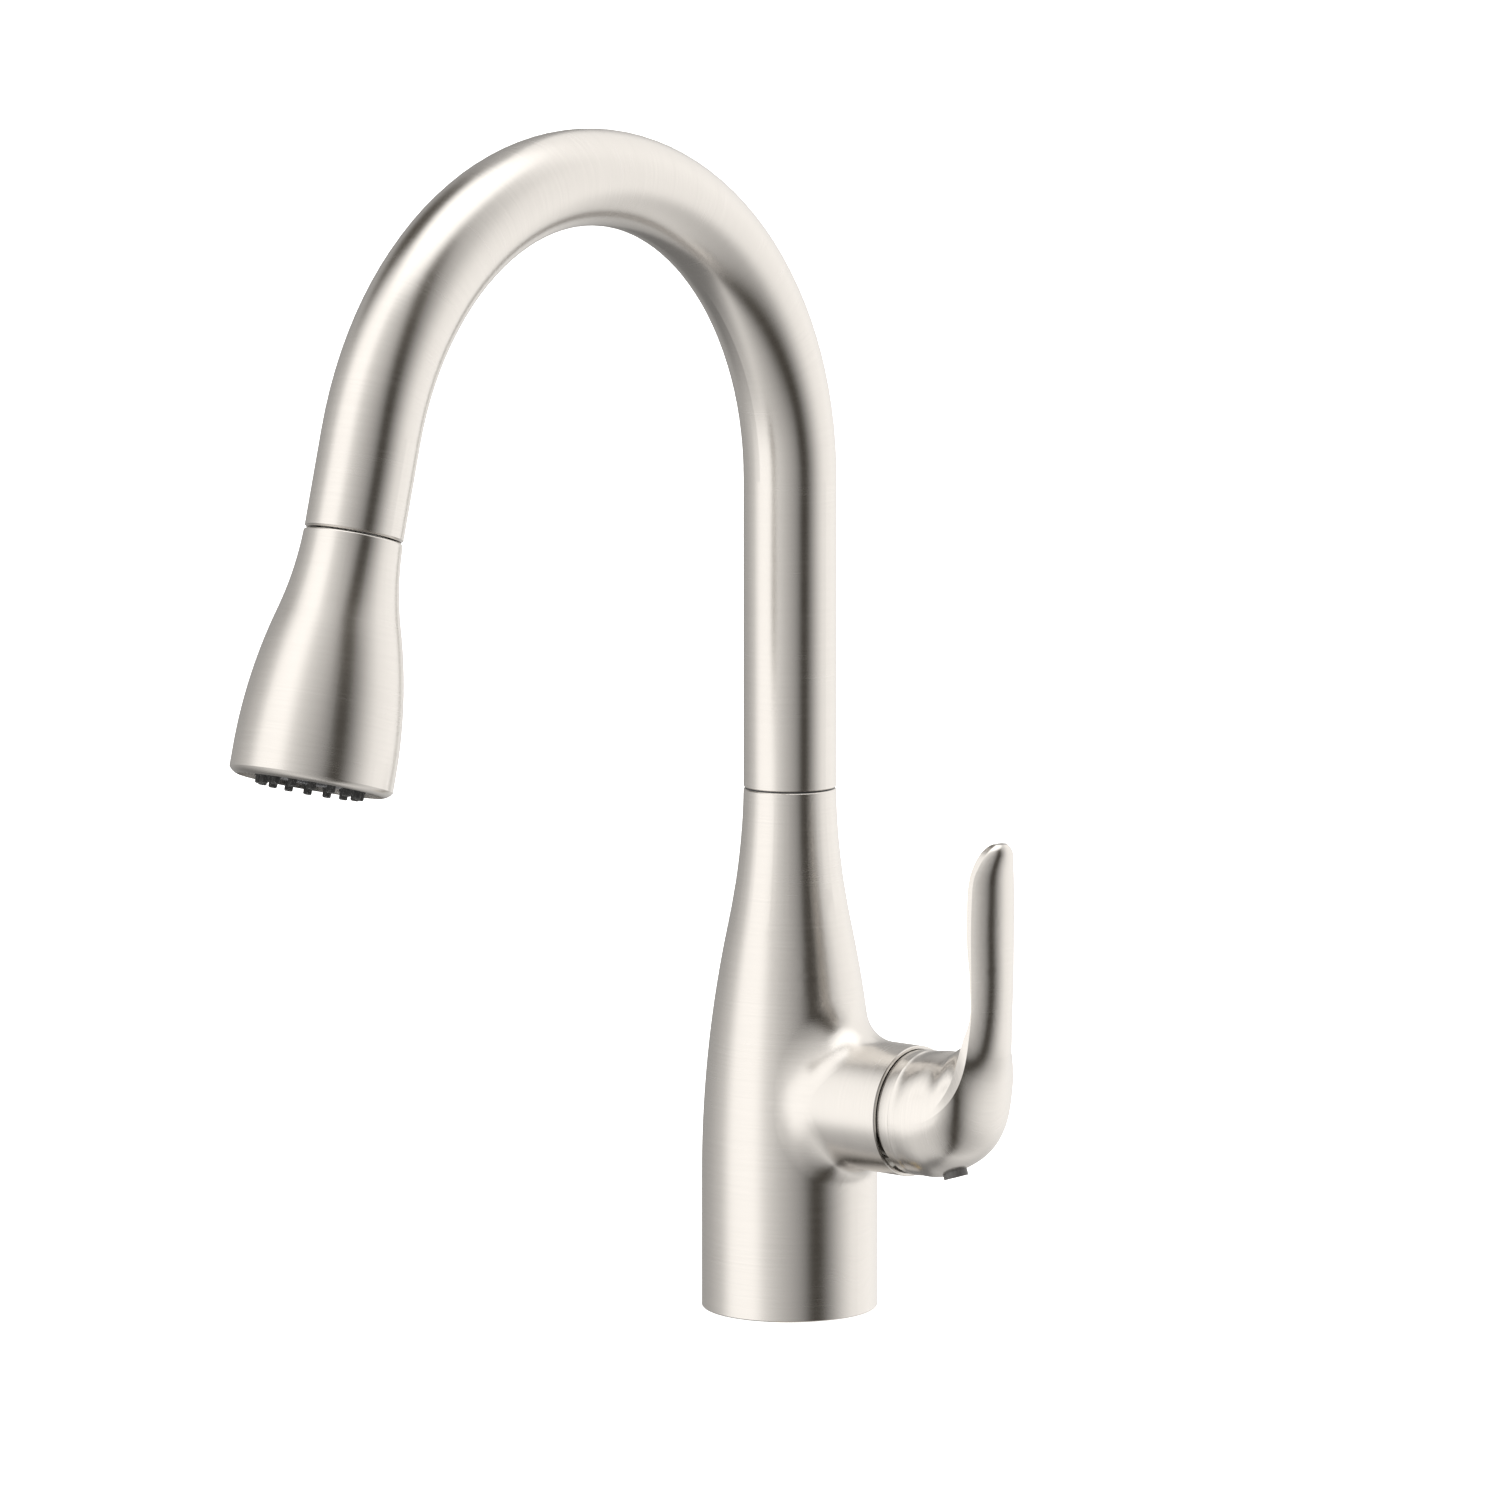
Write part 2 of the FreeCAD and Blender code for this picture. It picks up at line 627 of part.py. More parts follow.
# The carrier turns in the neck with the temperature; the pin through it lets the stem tilt.
carrier = turned_body("carrier_blank", [
    (0, d.carrier_start), (d.carrier_radius, d.carrier_start),
    (d.carrier_radius, d.carrier_end), (0, d.carrier_end)], HUB)
slot = block("carrier_slot", -d.slot_high, d.slot_low, -d.slot_width / 2, d.slot_width / 2,
             d.carrier_start - 1, d.carrier_end + 1, HUB)


def cross_rod(name, radius, length):
    """A rod through the lever's pivot, along the row's Y."""
    thing = doc.addObject("Part::Cylinder", name)
    thing.setExpression("Radius", sized(radius).text)
    thing.setExpression("Height", sized(length).text)
    place = (d.pivot_reach, sized(length) / 2, d.hub_height)
    return lay(thing, place, (1, 0, 0), 90)


carrier_hole = cross_rod("carrier_hole", d.pivot_pin_radius, d.carrier_radius * 2 + 4)
keep("stem_carrier", cut("stem_carrier", carrier, [slot, carrier_hole]))
keep("stem_pin", cross_rod("stem_pin", d.pivot_pin_radius, d.pivot_pin_length))

ball_reach = d.pivot_reach - d.ball_arm
ball_neck = root(d.ball_radius * d.ball_radius - d.stem_lower_radius * d.stem_lower_radius)
stem = turned_body("stem_blank", [
    (0, ball_reach - d.ball_radius), Arc(d.ball_radius, 1),
    (d.stem_lower_radius, ball_reach + ball_neck),
    (d.stem_lower_radius, d.stem_step), (d.stem_radius, d.stem_step + 1.5),
    (d.stem_radius, d.stem_end - 0.6), (d.stem_radius - 0.6, d.stem_end),
    (0, d.stem_end)], HUB)
stem_hole = cross_rod("stem_hole", d.pivot_pin_radius + d.pin_fit, d.stem_radius * 2 + 4)
keep("cartridge_stem", cut("cartridge_stem", stem, [stem_hole]))

moving_start = disc_start + d.disc_gap
moving_end = moving_start + d.moving_disc_thick
moving = rod("moving_ceramic_disc", d.moving_disc_radius, d.moving_disc_thick, HUB,
             moving_start, d.disc_drop)
keep("moving_ceramic_disc", moving)

slider_plate = rod("slider_plate", d.moving_disc_radius, sized(3.0), HUB,
                   moving_end, d.disc_drop)
slider_boss = rod("slider_boss", d.slider_boss, d.slider_end - moving_end, HUB, moving_end)
slider = joined("slider_blank", [slider_plate, slider_boss])
socket_start = ball_reach - d.ball_radius - 0.4
socket = rod("slider_socket", d.socket_radius, d.slider_end - socket_start + 1, HUB,
             socket_start)
keep("disc_slider", cut("disc_slider", slider, [socket]))


# ---------------------------------------------------------------- lever

# The lever starts as a ball about the pivot, where it enters the hub.  From there one
# swept form turns up through an elbow and flattens into the blade, which is crowned
# outside, nearly flat behind, and has a narrow flank down each edge.
lever = new_body("lever_handle")


def lever_profile(sketch, corners):
    """Corners as (distance from the hub's axis, reach), with the axis as Axis0."""
    flipped = []
    for item in corners:
        if isinstance(item, Arc):
            flipped.append(item)
        else:
            flipped.append((item[1], d.hub_height + item[0]))
    outline(sketch, flipped)
    line = sketch.addGeometry(Part.LineSegment(
        FreeCAD.Vector(0, d.hub_height.value, 0),
        FreeCAD.Vector(100, d.hub_height.value, 0)), True)
    sketch.addConstraint(Sketcher.Constraint("Horizontal", line))
    at = sketch.addConstraint(
        Sketcher.Constraint("DistanceY", -1, 1, line, 1, d.hub_height.value))
    sketch.setExpression("Constraints[" + str(at) + "]", d.hub_height.text)


dome_sketch = sketch_on(lever, "XZ_Plane")
rim_off = root(d.dome_radius * d.dome_radius
               - (d.pivot_reach - d.dome_rim) * (d.pivot_reach - d.dome_rim))
lever_profile(dome_sketch, [
    (sized(0), d.dome_rim), (rim_off, d.dome_rim), Arc(d.dome_radius, -1),
    (d.dome_radius, d.pivot_reach), (d.dome_radius, d.dome_end), (sized(0), d.dome_end)])
dome_feature = lever.newObject("PartDesign::Revolution", "lever_dome")
dome_feature.Profile = dome_sketch
dome_feature.ReferenceAxis = (dome_sketch, ["Axis0"])
dome_feature.Angle = 360
doc.recompute()

elbow_z = d.hub_height + d.elbow_height


def lever_section(x, z, angle, back, flank_in, flank_out, face, half):
    """One cross-section on a plane through (x, z), turned up by an angle.

    Distances run out from that point: to the crown of the back, both edges of the
    flank and the crown of the face.
    """
    sketch = sketch_on(lever, "XY_Plane")
    turn = FreeCAD.Rotation(FreeCAD.Vector(0, 1, 0), 90 - angle)
    sketch.AttachmentOffset = FreeCAD.Placement(
        FreeCAD.Vector(x.value, 0, z.value), turn)
    sketch.setExpression("AttachmentOffset.Base.x", x.text)
    sketch.setExpression("AttachmentOffset.Base.z", z.text)
    outer = face - flank_out
    inner = flank_in - back
    outline(sketch, [
        (flank_in, -half), (flank_out, -half),
        Arc((half * half + outer * outer) / (2 * outer), 1), (flank_out, half),
        (flank_in, half), Arc((half * half + inner * inner) / (2 * inner), 1)])
    return sketch


ball = d.dome_radius
thin = d.elbow_radius
wide = d.lever_half
sections = []
# Upright planes: how far short of the elbow, and how much each line has left the circle.
for short, back, flank, face, half in (
        (None, 0.05, 0.0, 0.05, 0.05), (8.5, 0.15, 0.12, 0.18, 0.08),
        (4.0, 0.6, 0.6, 0.4, 0.4), (0.0, 1.3, 1.3, 1.0, 0.9)):
    x = d.dome_end if short is None else d.elbow_reach - short
    sections.append(lever_section(
        x, elbow_z, 0, d.elbow_height - ball - back, d.elbow_height - 0.5 - flank,
        d.elbow_height + 0.5 - flank, d.elbow_height + ball - face, ball - half))
# Planes fanned about the elbow: the back, the flank's edges and the face stand out from
# the elbow's own radius by so much, and the half width from the blade's.
for angle, back, flank_in, flank_out, face, half in (
        (12, 1.7, 17.4, 19.9, 35.9, 7.85), (24, 0.7, 11.4, 15.2, 23.3, 5.15),
        (38, 0.1, 4.7, 8.7, 14.6, 2.25), (54, -0.1, 1.5, 3.9, 10.8, 0.65),
        (72, 0.0, 0.7, 1.7, 8.1, -0.05), (90, 0.0, 0.7, 1.2, 7.5, -0.35)):
    sections.append(lever_section(
        d.elbow_reach, elbow_z, angle, thin + back, thin + flank_in, thin + flank_out,
        thin + face, wide + half))
# Level planes up the blade: height, how far the back stands out from the elbow's
# radius, then the share of the crown, the flank, the half width and the back's crown.
foot = d.hub_height + d.elbow_height
for z, lean, crown, flank, half, back_crown in (
        (foot + 6, -0.1, 0.94, 0.33, 0.965, 1.0), (foot + 12, -0.4, 0.96, 0.45, 0.975, 1.1),
        (foot + 21, -1.2, 0.96, 0.89, 0.995, 1.1), (foot + 29, -1.3, 0.96, 0.97, 1.0, 1.1),
        (d.lever_top - 15.8, -1.3, 0.94, 1.05, 0.975, 1.1),
        (d.lever_top - 9.8, -0.7, 0.86, 1.05, 0.905, 1.0),
        (d.lever_top - 6.2, 0.0, 0.74, 1.3, 0.775, 0.9),
        (d.lever_top - 3.5, 1.0, 0.64, 1.3, 0.645, 0.8),
        (d.lever_top - 1.5, 2.0, 0.47, 1.2, 0.465, 0.7),
        (d.lever_top - 0.2, 3.3, 0.26, 0.9, 0.26, 0.5)):
    back = thin + lean
    flank_in = back + d.lever_back_crown * back_crown
    flank_out = flank_in + d.lever_flank * flank
    sections.append(lever_section(
        d.elbow_reach, z, 90, back, flank_in, flank_out,
        flank_out + d.lever_crown * crown, wide * half))
blade = lever.newObject("PartDesign::AdditiveLoft", "lever_blade")
blade.Profile = sections[0]
blade.Sections = sections[1:]
blade.Ruled = False
doc.recompute()
if not blade.Shape.Volume > dome_feature.Shape.Volume + 1000:
    raise ValueError("the lever has no blade")

# Inside: a ball-shaped hollow over the bonnet, flat at its end, and the stem's hole.
hollow_sketch = sketch_on(lever, "XZ_Plane")
floor_rise = d.hollow_end - d.pivot_reach
floor_off = root(d.dome_bore * d.dome_bore - floor_rise * floor_rise)
mouth_off = root(d.dome_bore * d.dome_bore
                 - (d.pivot_reach - d.dome_rim + 1) * (d.pivot_reach - d.dome_rim + 1))
lever_profile(hollow_sketch, [
    (sized(0), d.dome_rim - 1), (mouth_off, d.dome_rim - 1), Arc(d.dome_bore, -1),
    (floor_off, d.hollow_end), (d.stem_radius, d.hollow_end),
    (d.stem_radius, d.stem_hole_depth),
    (sized(0), d.stem_hole_depth)])
hollow = lever.newObject("PartDesign::Groove", "lever_hollow")
hollow.Profile = hollow_sketch
hollow.ReferenceAxis = (hollow_sketch, ["Axis0"])
hollow.Angle = 360
doc.recompute()
if not hollow.Shape.Volume < blade.Shape.Volume - 1:
    raise ValueError("the lever is not hollow")

# The rim's lower half is cut back, so that the lever can tilt out.
relief_sketch = sketch_on(lever, "XZ_Plane")
outline(relief_sketch, [
    (d.dome_rim - 2, d.hub_height), (d.dome_rim, d.hub_height),
    (d.dome_rim + d.rim_relief, d.hub_height - d.dome_radius),
    (d.dome_rim + d.rim_relief, d.hub_height - d.dome_radius - 3),
    (d.dome_rim - 2, d.hub_height - d.dome_radius - 3)])
relief = lever.newObject("PartDesign::Pocket", "lever_relief")
relief.Profile = relief_sketch
relief.Type = 1
relief.SideType = "Symmetric"
doc.recompute()
if not relief.Shape.Volume < hollow.Shape.Volume - 1:
    raise ValueError("the lever's rim is not cut back")

screw_hole = doc.addObject("Part::Cylinder", "screw_hole")
plug_hole = doc.addObject("Part::Cylinder", "plug_hole")
grub_screw = doc.addObject("Part::Cylinder", "grub_screw")
plug = doc.addObject("Part::Cylinder", "plug")


def below_stem(thing, radius, from_axis, length):
    """Stand a rod under the stem: its top this far below the hub's axis, pointing down."""
    thing.setExpression("Radius", sized(radius).text)
    thing.setExpression("Height", sized(length).text)
    lay(thing, (d.screw_reach, 0.0, d.hub_height - from_axis), (1, 0, 0), 180)


below_stem(screw_hole, d.screw_radius, d.stem_radius - 0.5, d.dome_radius + 2)
below_stem(grub_screw, d.screw_radius, d.stem_radius, d.screw_length)
# The plug leans out with the elbow's underside, and stands just proud of it.
for thing, radius, length in (
        (plug_hole, d.plug_radius + d.plug_gap, d.plug_depth + 4), (plug, d.plug_radius, d.plug_depth)):
    thing.setExpression("Radius", radius.text)
    thing.setExpression("Height", length.text)
    lay(thing, (d.screw_reach - d.plug_depth * sine(d.plug_lean), 0.0,
                d.hub_height - d.plug_level + d.plug_depth * cosine(d.plug_lean)),
        (0, 1, 0), 180 - d.plug_lean.value)
handle = cut("handle_lever", lever, [screw_hole, plug_hole])
keep("handle_lever", handle)
hexagon = doc.addObject("Part::Prism", "grub_hexagon")
hexagon.Polygon = 6
hexagon.Circumradius = 1.4
hexagon.Height = 3
lay(hexagon, (d.screw_reach, 0.0, d.hub_height - d.stem_radius - d.screw_length - 0.5),
    (0, 0, 1), 0)
keep("handle_set_screw", cut("handle_set_screw", grub_screw, [hexagon]))
keep("handle_plug", plug)


# ---------------------------------------------------------------- spout

tube_bore = d.tube_radius - d.tube_wall


def bent(name, outer, inner, bottom):
    """A tube up the spout: a straight leg from the bottom, and the bend over the top."""
    leg = turned_body(name + "_leg", [
        (inner, bottom), (outer - d.edge_break, bottom), (outer, bottom + d.edge_break),
        (outer, d.bend_start), (inner, d.bend_start)])
    parts = []
    for part, radius in (("outer", outer), ("inner", inner)):
        ring = doc.addObject("Part::Torus", name + "_bend_" + part)
        ring.setExpression("Radius1", d.bend_radius.text)
        ring.setExpression("Radius2", sized(radius).text)
        ring.setExpression("Angle3", d.bend_angle.text)
        parts.append(lay(ring, (0.0, -d.bend_radius, d.bend_start), (1, 1, 1), 120))
    return leg, cut(name + "_bend", parts[0], [parts[1]])


leg, bend = bent("spout", d.tube_radius, tube_bore, d.seam_height + d.seam_gap)
tail = turned_body("spout_tail", [
    (tube_bore, -d.tail_length), (d.tube_radius, -d.tail_length),
    (d.tube_radius, -d.dock_gap - d.tail_bevel),
    (d.tube_radius - d.tail_bevel, -d.dock_gap), (tube_bore, -d.dock_gap)], HEAD)
keep("spout_tube", joined("spout_tube", [leg, bend, tail]))

glide = turned_body("spout_glide_ring", ring_corners(
    d.collar_radius + 0.1, d.tube_radius - 0.6, d.seam_height, d.seam_height + d.seam_gap))
keep("spout_glide_ring", glide)

# The collar is pressed into the tube and turns in the body on two rings.
ring_half = d.ring_thick / 2
groove_off = d.collar_radius - d.ring_depth
keeper_half = d.keeper_width / 2
collar_corners = [(d.collar_bore, d.collar_bottom), (d.collar_radius, d.collar_bottom)]
for low, high, off in (
        (d.keeper_height - keeper_half, d.keeper_height + keeper_half, d.keeper_groove),
        (d.ring_low - ring_half, d.ring_low + ring_half, groove_off),
        (d.ring_high - ring_half, d.ring_high + ring_half, groove_off)):
    collar_corners += [(d.collar_radius, low), (off, low), (off, high), (d.collar_radius, high)]
collar_corners += [
    (d.collar_radius, d.seam_height + d.seam_gap), (tube_bore, d.seam_height + d.seam_gap),
    (tube_bore, d.collar_top), (d.collar_bore, d.collar_top)]
keep("spout_collar", turned_body("spout_collar", collar_corners))

for label, level in (("spout_ring_lower", d.ring_low), ("spout_ring_upper", d.ring_high)):
    ring = doc.addObject("Part::Torus", label)
    ring.setExpression("Radius1", (d.collar_radius - d.ring_thick / 2).text)
    ring.setExpression("Radius2", (d.ring_thick / 2).text)
    ring.setExpression("Placement.Base.z", level.text)
    keep(label, ring)

keeper = doc.addObject("Part::Cylinder", "keeper_thread")
keeper_tip = doc.addObject("Part::Cylinder", "keeper_tip")
for thing, radius, low, high in (
        (keeper, d.keeper_radius, d.keeper_step, d.keeper_end),
        (keeper_tip, d.keeper_tip_radius, d.keeper_groove + d.keeper_gap, d.keeper_step)):
    thing.setExpression("Radius", radius.text)
    thing.setExpression("Height", (high - low).text)
    lay(thing, (0.0, low, d.keeper_height), (1, 0, 0), -90)
keeper_blank = joined("keeper_blank", [keeper, keeper_tip])
keeper_hex = doc.addObject("Part::Prism", "keeper_hexagon")
keeper_hex.Polygon = 6
keeper_hex.Circumradius = 1.1
keeper_hex.Height = 3
lay(keeper_hex, (0.0, d.keeper_end - 2, d.keeper_height), (1, 0, 0), -90)
keep("spout_keeper_screw", cut("spout_keeper_screw", keeper_blank, [keeper_hex]))

# The dock: a plastic guide in the tube's end, and a ring magnet above it.
guide_top = -d.guide_length
guide = turned_body("docking_guide", [
    (d.guide_bore, guide_top), (tube_bore, guide_top), (tube_bore, -d.dock_gap - 0.2),
    (d.guide_bore + 0.8, -d.dock_gap - 0.2), (d.guide_bore, -d.dock_gap - 1.4)], HEAD)
keep("docking_guide", guide)
magnet = turned_body("dock_magnet", ring_corners(
    d.magnet_bore, tube_bore, guide_top - d.magnet_length, guide_top), HEAD)
keep("dock_magnet", magnet)

# The hose rises through the shank, the body and the spout to its swivelling end.
hose_leg, hose_bend = bent("hose", d.hose_radius, d.hose_bore, d.hose_bottom)
hose_tail = turned_body("hose_tail", ring_corners(
    d.hose_bore, d.hose_radius, -d.tail_length, d.hose_end), HEAD)
keep("spray_hose", joined("spray_hose", [hose_leg, hose_bend, hose_tail]))


# ---------------------------------------------------------------- hose end

ferrule_bore = d.hose_radius + d.ferrule_fit
ferrule = turned_body("hose_ferrule", [
    (ferrule_bore, d.ferrule_top), (d.ferrule_radius - 0.5, d.ferrule_top),
    (d.ferrule_radius, d.ferrule_top + 0.5), (d.ferrule_radius, d.ferrule_bottom - 0.5),
    (d.ferrule_radius - 0.5, d.ferrule_bottom), (ferrule_bore, d.ferrule_bottom)], HEAD)
keep("hose_ferrule", ferrule)
nut = turned_body("hose_swivel_nut", [
    (d.hose_bore, d.ferrule_bottom), (d.nut_radius - 1.2, d.ferrule_bottom),
    (d.nut_radius, d.ferrule_bottom + 1.2), (d.nut_radius, d.nut_bottom),
    (d.spigot_radius, d.nut_bottom), (d.spigot_radius, d.spigot_end),
    (d.hose_bore, d.spigot_end)], HEAD)
keep("hose_swivel_nut", nut)
washer = turned_body("hose_washer", ring_corners(
    d.washer_bore, d.spigot_radius - 0.2, d.spigot_end, d.spigot_end + d.washer_thick), HEAD)
keep("hose_washer", washer)


# ---------------------------------------------------------------- spray head

def shell_at(wall):
    """The head's outer line, offset inwards by a wall."""
    return [
        (d.head_top_radius - wall, 0), (d.head_waist_radius - wall, d.head_waist),
        (d.head_radius - wall, d.head_straight)]


skin = shell_at(sized(0.0))
liner = shell_at(d.head_wall)
shell_profile = [
    (d.head_collar_radius, 0), (d.head_top_radius - d.top_round, 0),
    Arc(d.top_round, 1), (d.head_top_radius, d.top_round),
    Arc(100.8, -1), (d.head_waist_radius, d.head_waist),
    Arc(158.9, 1, tangent=True), (d.head_radius, d.head_straight),
    (d.head_radius, d.head_corner), Arc(4.2, 1), (d.face_radius, d.face_end),
    (d.face_radius, d.plate_end - 3.9), (d.face_radius + 0.5, d.plate_end - 3.9),
    liner[2], liner[1],
    (d.head_top_radius - d.head_wall + 0.1, d.head_wall),
    (d.head_collar_radius, d.head_wall)]
shell = turned_body("shell_blank", shell_profile, HEAD)

rocker_low = d.rocker_pivot - d.rocker_half
rocker_high = d.rocker_pivot + d.rocker_half
half_wide = d.rocker_width / 2
window = block("rocker_window", -half_wide - 0.4, half_wide + 0.4,
               -d.head_radius - 3, -d.diverter_radius - 1.5,
               rocker_low - d.rocker_gap, rocker_high + d.rocker_gap, HEAD)
keep("spray_head_shell", cut("spray_head_shell", shell, [window]))

collar_start = d.head_collar_top + d.strike_thick
bore_end = d.nut_bottom + d.nut_clear
head_collar = turned_body("head_collar", [
    (d.nut_radius + d.nut_clear, collar_start), (d.head_collar_radius - 0.6, collar_start),
    (d.head_collar_radius, collar_start + 0.6), (d.head_collar_radius, d.head_wall),
    (d.waterway_radius, d.head_wall), (d.waterway_radius, d.head_collar_bottom),
    (d.spigot_radius + d.spigot_fit, d.head_collar_bottom),
    (d.spigot_radius + d.spigot_fit, bore_end), (d.nut_radius + d.nut_clear, bore_end)], HEAD)
keep("head_collar", head_collar)
strike = turned_body("dock_strike_ring", ring_corners(
    d.nut_radius + d.nut_clear, d.head_collar_radius - 0.6, d.head_collar_top, collar_start), HEAD)
keep("dock_strike_ring", strike)

waterway = turned_body("head_waterway", [
    (d.waterway_bore, d.head_collar_bottom), (d.waterway_radius, d.head_collar_bottom),
    (d.waterway_radius, d.waterway_end), (3.0, d.waterway_end),
    (3.0, d.valve_seat + d.check_length), (d.waterway_bore, d.valve_seat + d.check_length)], HEAD)
keep("head_waterway", waterway)
check = turned_body("check_valve", [
    (2.2, d.valve_seat), (d.waterway_bore, d.valve_seat),
    (d.waterway_bore, d.valve_seat + 3), (d.check_radius - 0.9, d.valve_seat + 4),
    (d.check_radius - 0.9, d.valve_seat + d.check_length),
    (2.2, d.valve_seat + d.check_length)], HEAD)
keep("check_valve", check)

diverter = turned_body("diverter_blank", [
    (0, d.waterway_end), (d.waterway_radius, d.waterway_end),
    (d.diverter_radius, d.waterway_end + 4), (d.diverter_radius, d.diverter_end),
    (d.diverter_bore, d.diverter_end), (d.diverter_bore, d.diverter_end - 12),
    (0, d.diverter_end - 12)], HEAD)
ears = []
for number, hand in enumerate((1, -1)):
    outer_side = d.rocker_pin_length / 2
    inner_side = outer_side - d.ear_width
    low_side, high_side = (inner_side, outer_side) if hand > 0 else (-outer_side, -inner_side)
    ears.append(block("diverter_ear" + str(number), low_side, high_side,
                      -d.rocker_line - 1.8, -d.diverter_radius + 2.5,
                      d.rocker_pivot - 2, d.rocker_pivot + 2, HEAD))
diverter = joined("diverter_eared", [diverter] + ears)


def head_cross_rod(name, radius, length):
    """A rod along the row's X through the rocker's pivot."""
    thing = doc.addObject("Part::Cylinder", name)
    thing.setExpression("Radius", sized(radius).text)
    thing.setExpression("Height", sized(length).text)
    place = spot(HEAD, d.rocker_pivot, -sized(length) / 2, -d.rocker_line)
    return lay(thing, place, (0, 1, 0), 90)


plunger_hole = rod("plunger_hole", d.plunger_radius + d.plunger_fit,
                   d.diverter_end - d.plunger_start + 2, HEAD, d.plunger_start - 1.5,
                   0, -d.plunger_line)
finger_room = block("finger_room", -d.finger_width / 2 - 0.5, d.finger_width / 2 + 0.5,
                    -d.diverter_radius - 1, -d.plunger_line + 0.5,
                    d.rocker_pivot - 3.4, d.rocker_pivot + 3.4, HEAD)
pin_hole = head_cross_rod("ear_hole", d.rocker_pin_radius, d.rocker_pin_length + 2)
water_hole = rod("diverter_water", 3.0, 20.0, HEAD, d.waterway_end - 1)
keep("diverter_housing", cut("diverter_housing", diverter,
                             [plunger_hole, finger_room, pin_hole, water_hole]))
keep("rocker_pin", head_cross_rod("rocker_pin", d.rocker_pin_radius, d.rocker_pin_length))

plate = new_body("nozzle_plate")
put(plate, HEAD)
turned(plate, [
    (d.plate_centre_bore, d.plate_start), (d.face_radius, d.plate_start),
    (d.face_radius, d.plate_end - 0.5), (d.face_radius - 0.5, d.plate_end),
    (d.plate_centre_bore, d.plate_end)])


def ring_of(part, feature, count):
    pattern = part.newObject("PartDesign::PolarPattern", part.Name + "_ring")
    pattern.Originals = [feature]
    pattern.Axis = (origin_item(part, "Z_Axis"), [""])
    pattern.Angle = 360
    pattern.setExpression("Occurrences", count.text)
    part.Tip = pattern
    doc.recompute()
    return pattern


hole_sketch = sketch_on(plate, "XY_Plane", d.plate_start - 1)
circle_in(hole_sketch, d.nub_circle, 0, d.nub_base_radius)
hole = plate.newObject("PartDesign::Pocket", "nozzle_plate_hole")
hole.Profile = hole_sketch
hole.Reversed = True
hole.setExpression("Length", (d.plate_end - d.plate_start + 2).text)
doc.recompute()
plate_volume = plate.Shape.Volume
ring_of(plate, hole, d.nub_count)
if not plate.Shape.Volume < plate_volume - 1:
    raise ValueError("the nozzle plate has no ring of holes")
keep("nozzle_plate", plate)

# One moulded sheet behind the plate carries every rubber nozzle.
nubs = new_body("spray_nozzles")
put(nubs, HEAD)
sheet_top = d.plate_start - d.nub_sheet_thick
turned(nubs, ring_corners(d.nub_circle - 3.5, d.nub_circle + 3.5, sheet_top, d.plate_start))
nub_sketch = sketch_on(nubs, "XZ_Plane")
outline(nub_sketch, [
    (d.nub_circle, sheet_top + 0.3), (d.nub_circle + d.nub_base_radius, sheet_top + 0.3),
    (d.nub_circle + d.nub_base_radius, d.nub_step), (d.nub_circle + d.nub_radius, d.nub_step),
    (d.nub_circle + d.nub_radius, d.nub_end - 0.3),
    (d.nub_circle + d.nub_radius - 0.3, d.nub_end), (d.nub_circle, d.nub_end)])
nub_axis = nub_sketch.addGeometry(Part.LineSegment(
    FreeCAD.Vector(d.nub_circle.value, 0, 0), FreeCAD.Vector(d.nub_circle.value, 90, 0)), True)
nub_sketch.addConstraint(Sketcher.Constraint("Vertical", nub_axis))
at = nub_sketch.addConstraint(
    Sketcher.Constraint("DistanceX", -1, 1, nub_axis, 1, d.nub_circle.value))
nub_sketch.setExpression("Constraints[" + str(at) + "]", d.nub_circle.text)
nub = nubs.newObject("PartDesign::Revolution", "spray_nozzles_one")
nub.Profile = nub_sketch
nub.ReferenceAxis = (nub_sketch, ["Axis0"])
nub.Angle = 360
doc.recompute()
ring_of(nubs, nub, d.nub_count)
keep("spray_nozzles", nubs)

aerator = turned_body("aerator_housing", [
    (d.aerator_bore, d.aerator_start), (d.plate_centre_bore - 1.4, d.aerator_start),
    (d.plate_centre_bore - 1.4, d.aerator_start + 2), (d.plate_centre_bore, d.aerator_start + 3),
    (d.plate_centre_bore, d.aerator_end - 0.4), (d.plate_centre_bore - 0.4, d.aerator_end),
    (d.aerator_bore + 0.4, d.aerator_end), (d.aerator_bore, d.aerator_end - 0.4)], HEAD)
keep("aerator_housing", aerator)
mesh = rod("mesh_blank", d.aerator_bore, d.mesh_thick, HEAD, d.mesh_start)
holes = [rod("mesh_hole_middle", d.mesh_hole, d.mesh_thick + 2, HEAD, d.mesh_start - 1)]
for ring_number, count in ((1, 6), (2, 12)):
    off = d.mesh_spread * ring_number / 2
    for number in range(count):
        angle = 2 * math.pi * number / count
        holes.append(rod(
            "mesh_hole_" + str(ring_number) + "_" + str(number), d.mesh_hole,
            d.mesh_thick + 2, HEAD, d.mesh_start - 1,
            off * math.cos(angle), off * math.sin(angle)))
mesh_drills = joined("mesh_drills", holes)
keep("aerator_mesh", cut("aerator_mesh", mesh, [mesh_drills]))


# ---------------------------------------------------------------- rocker and diverter

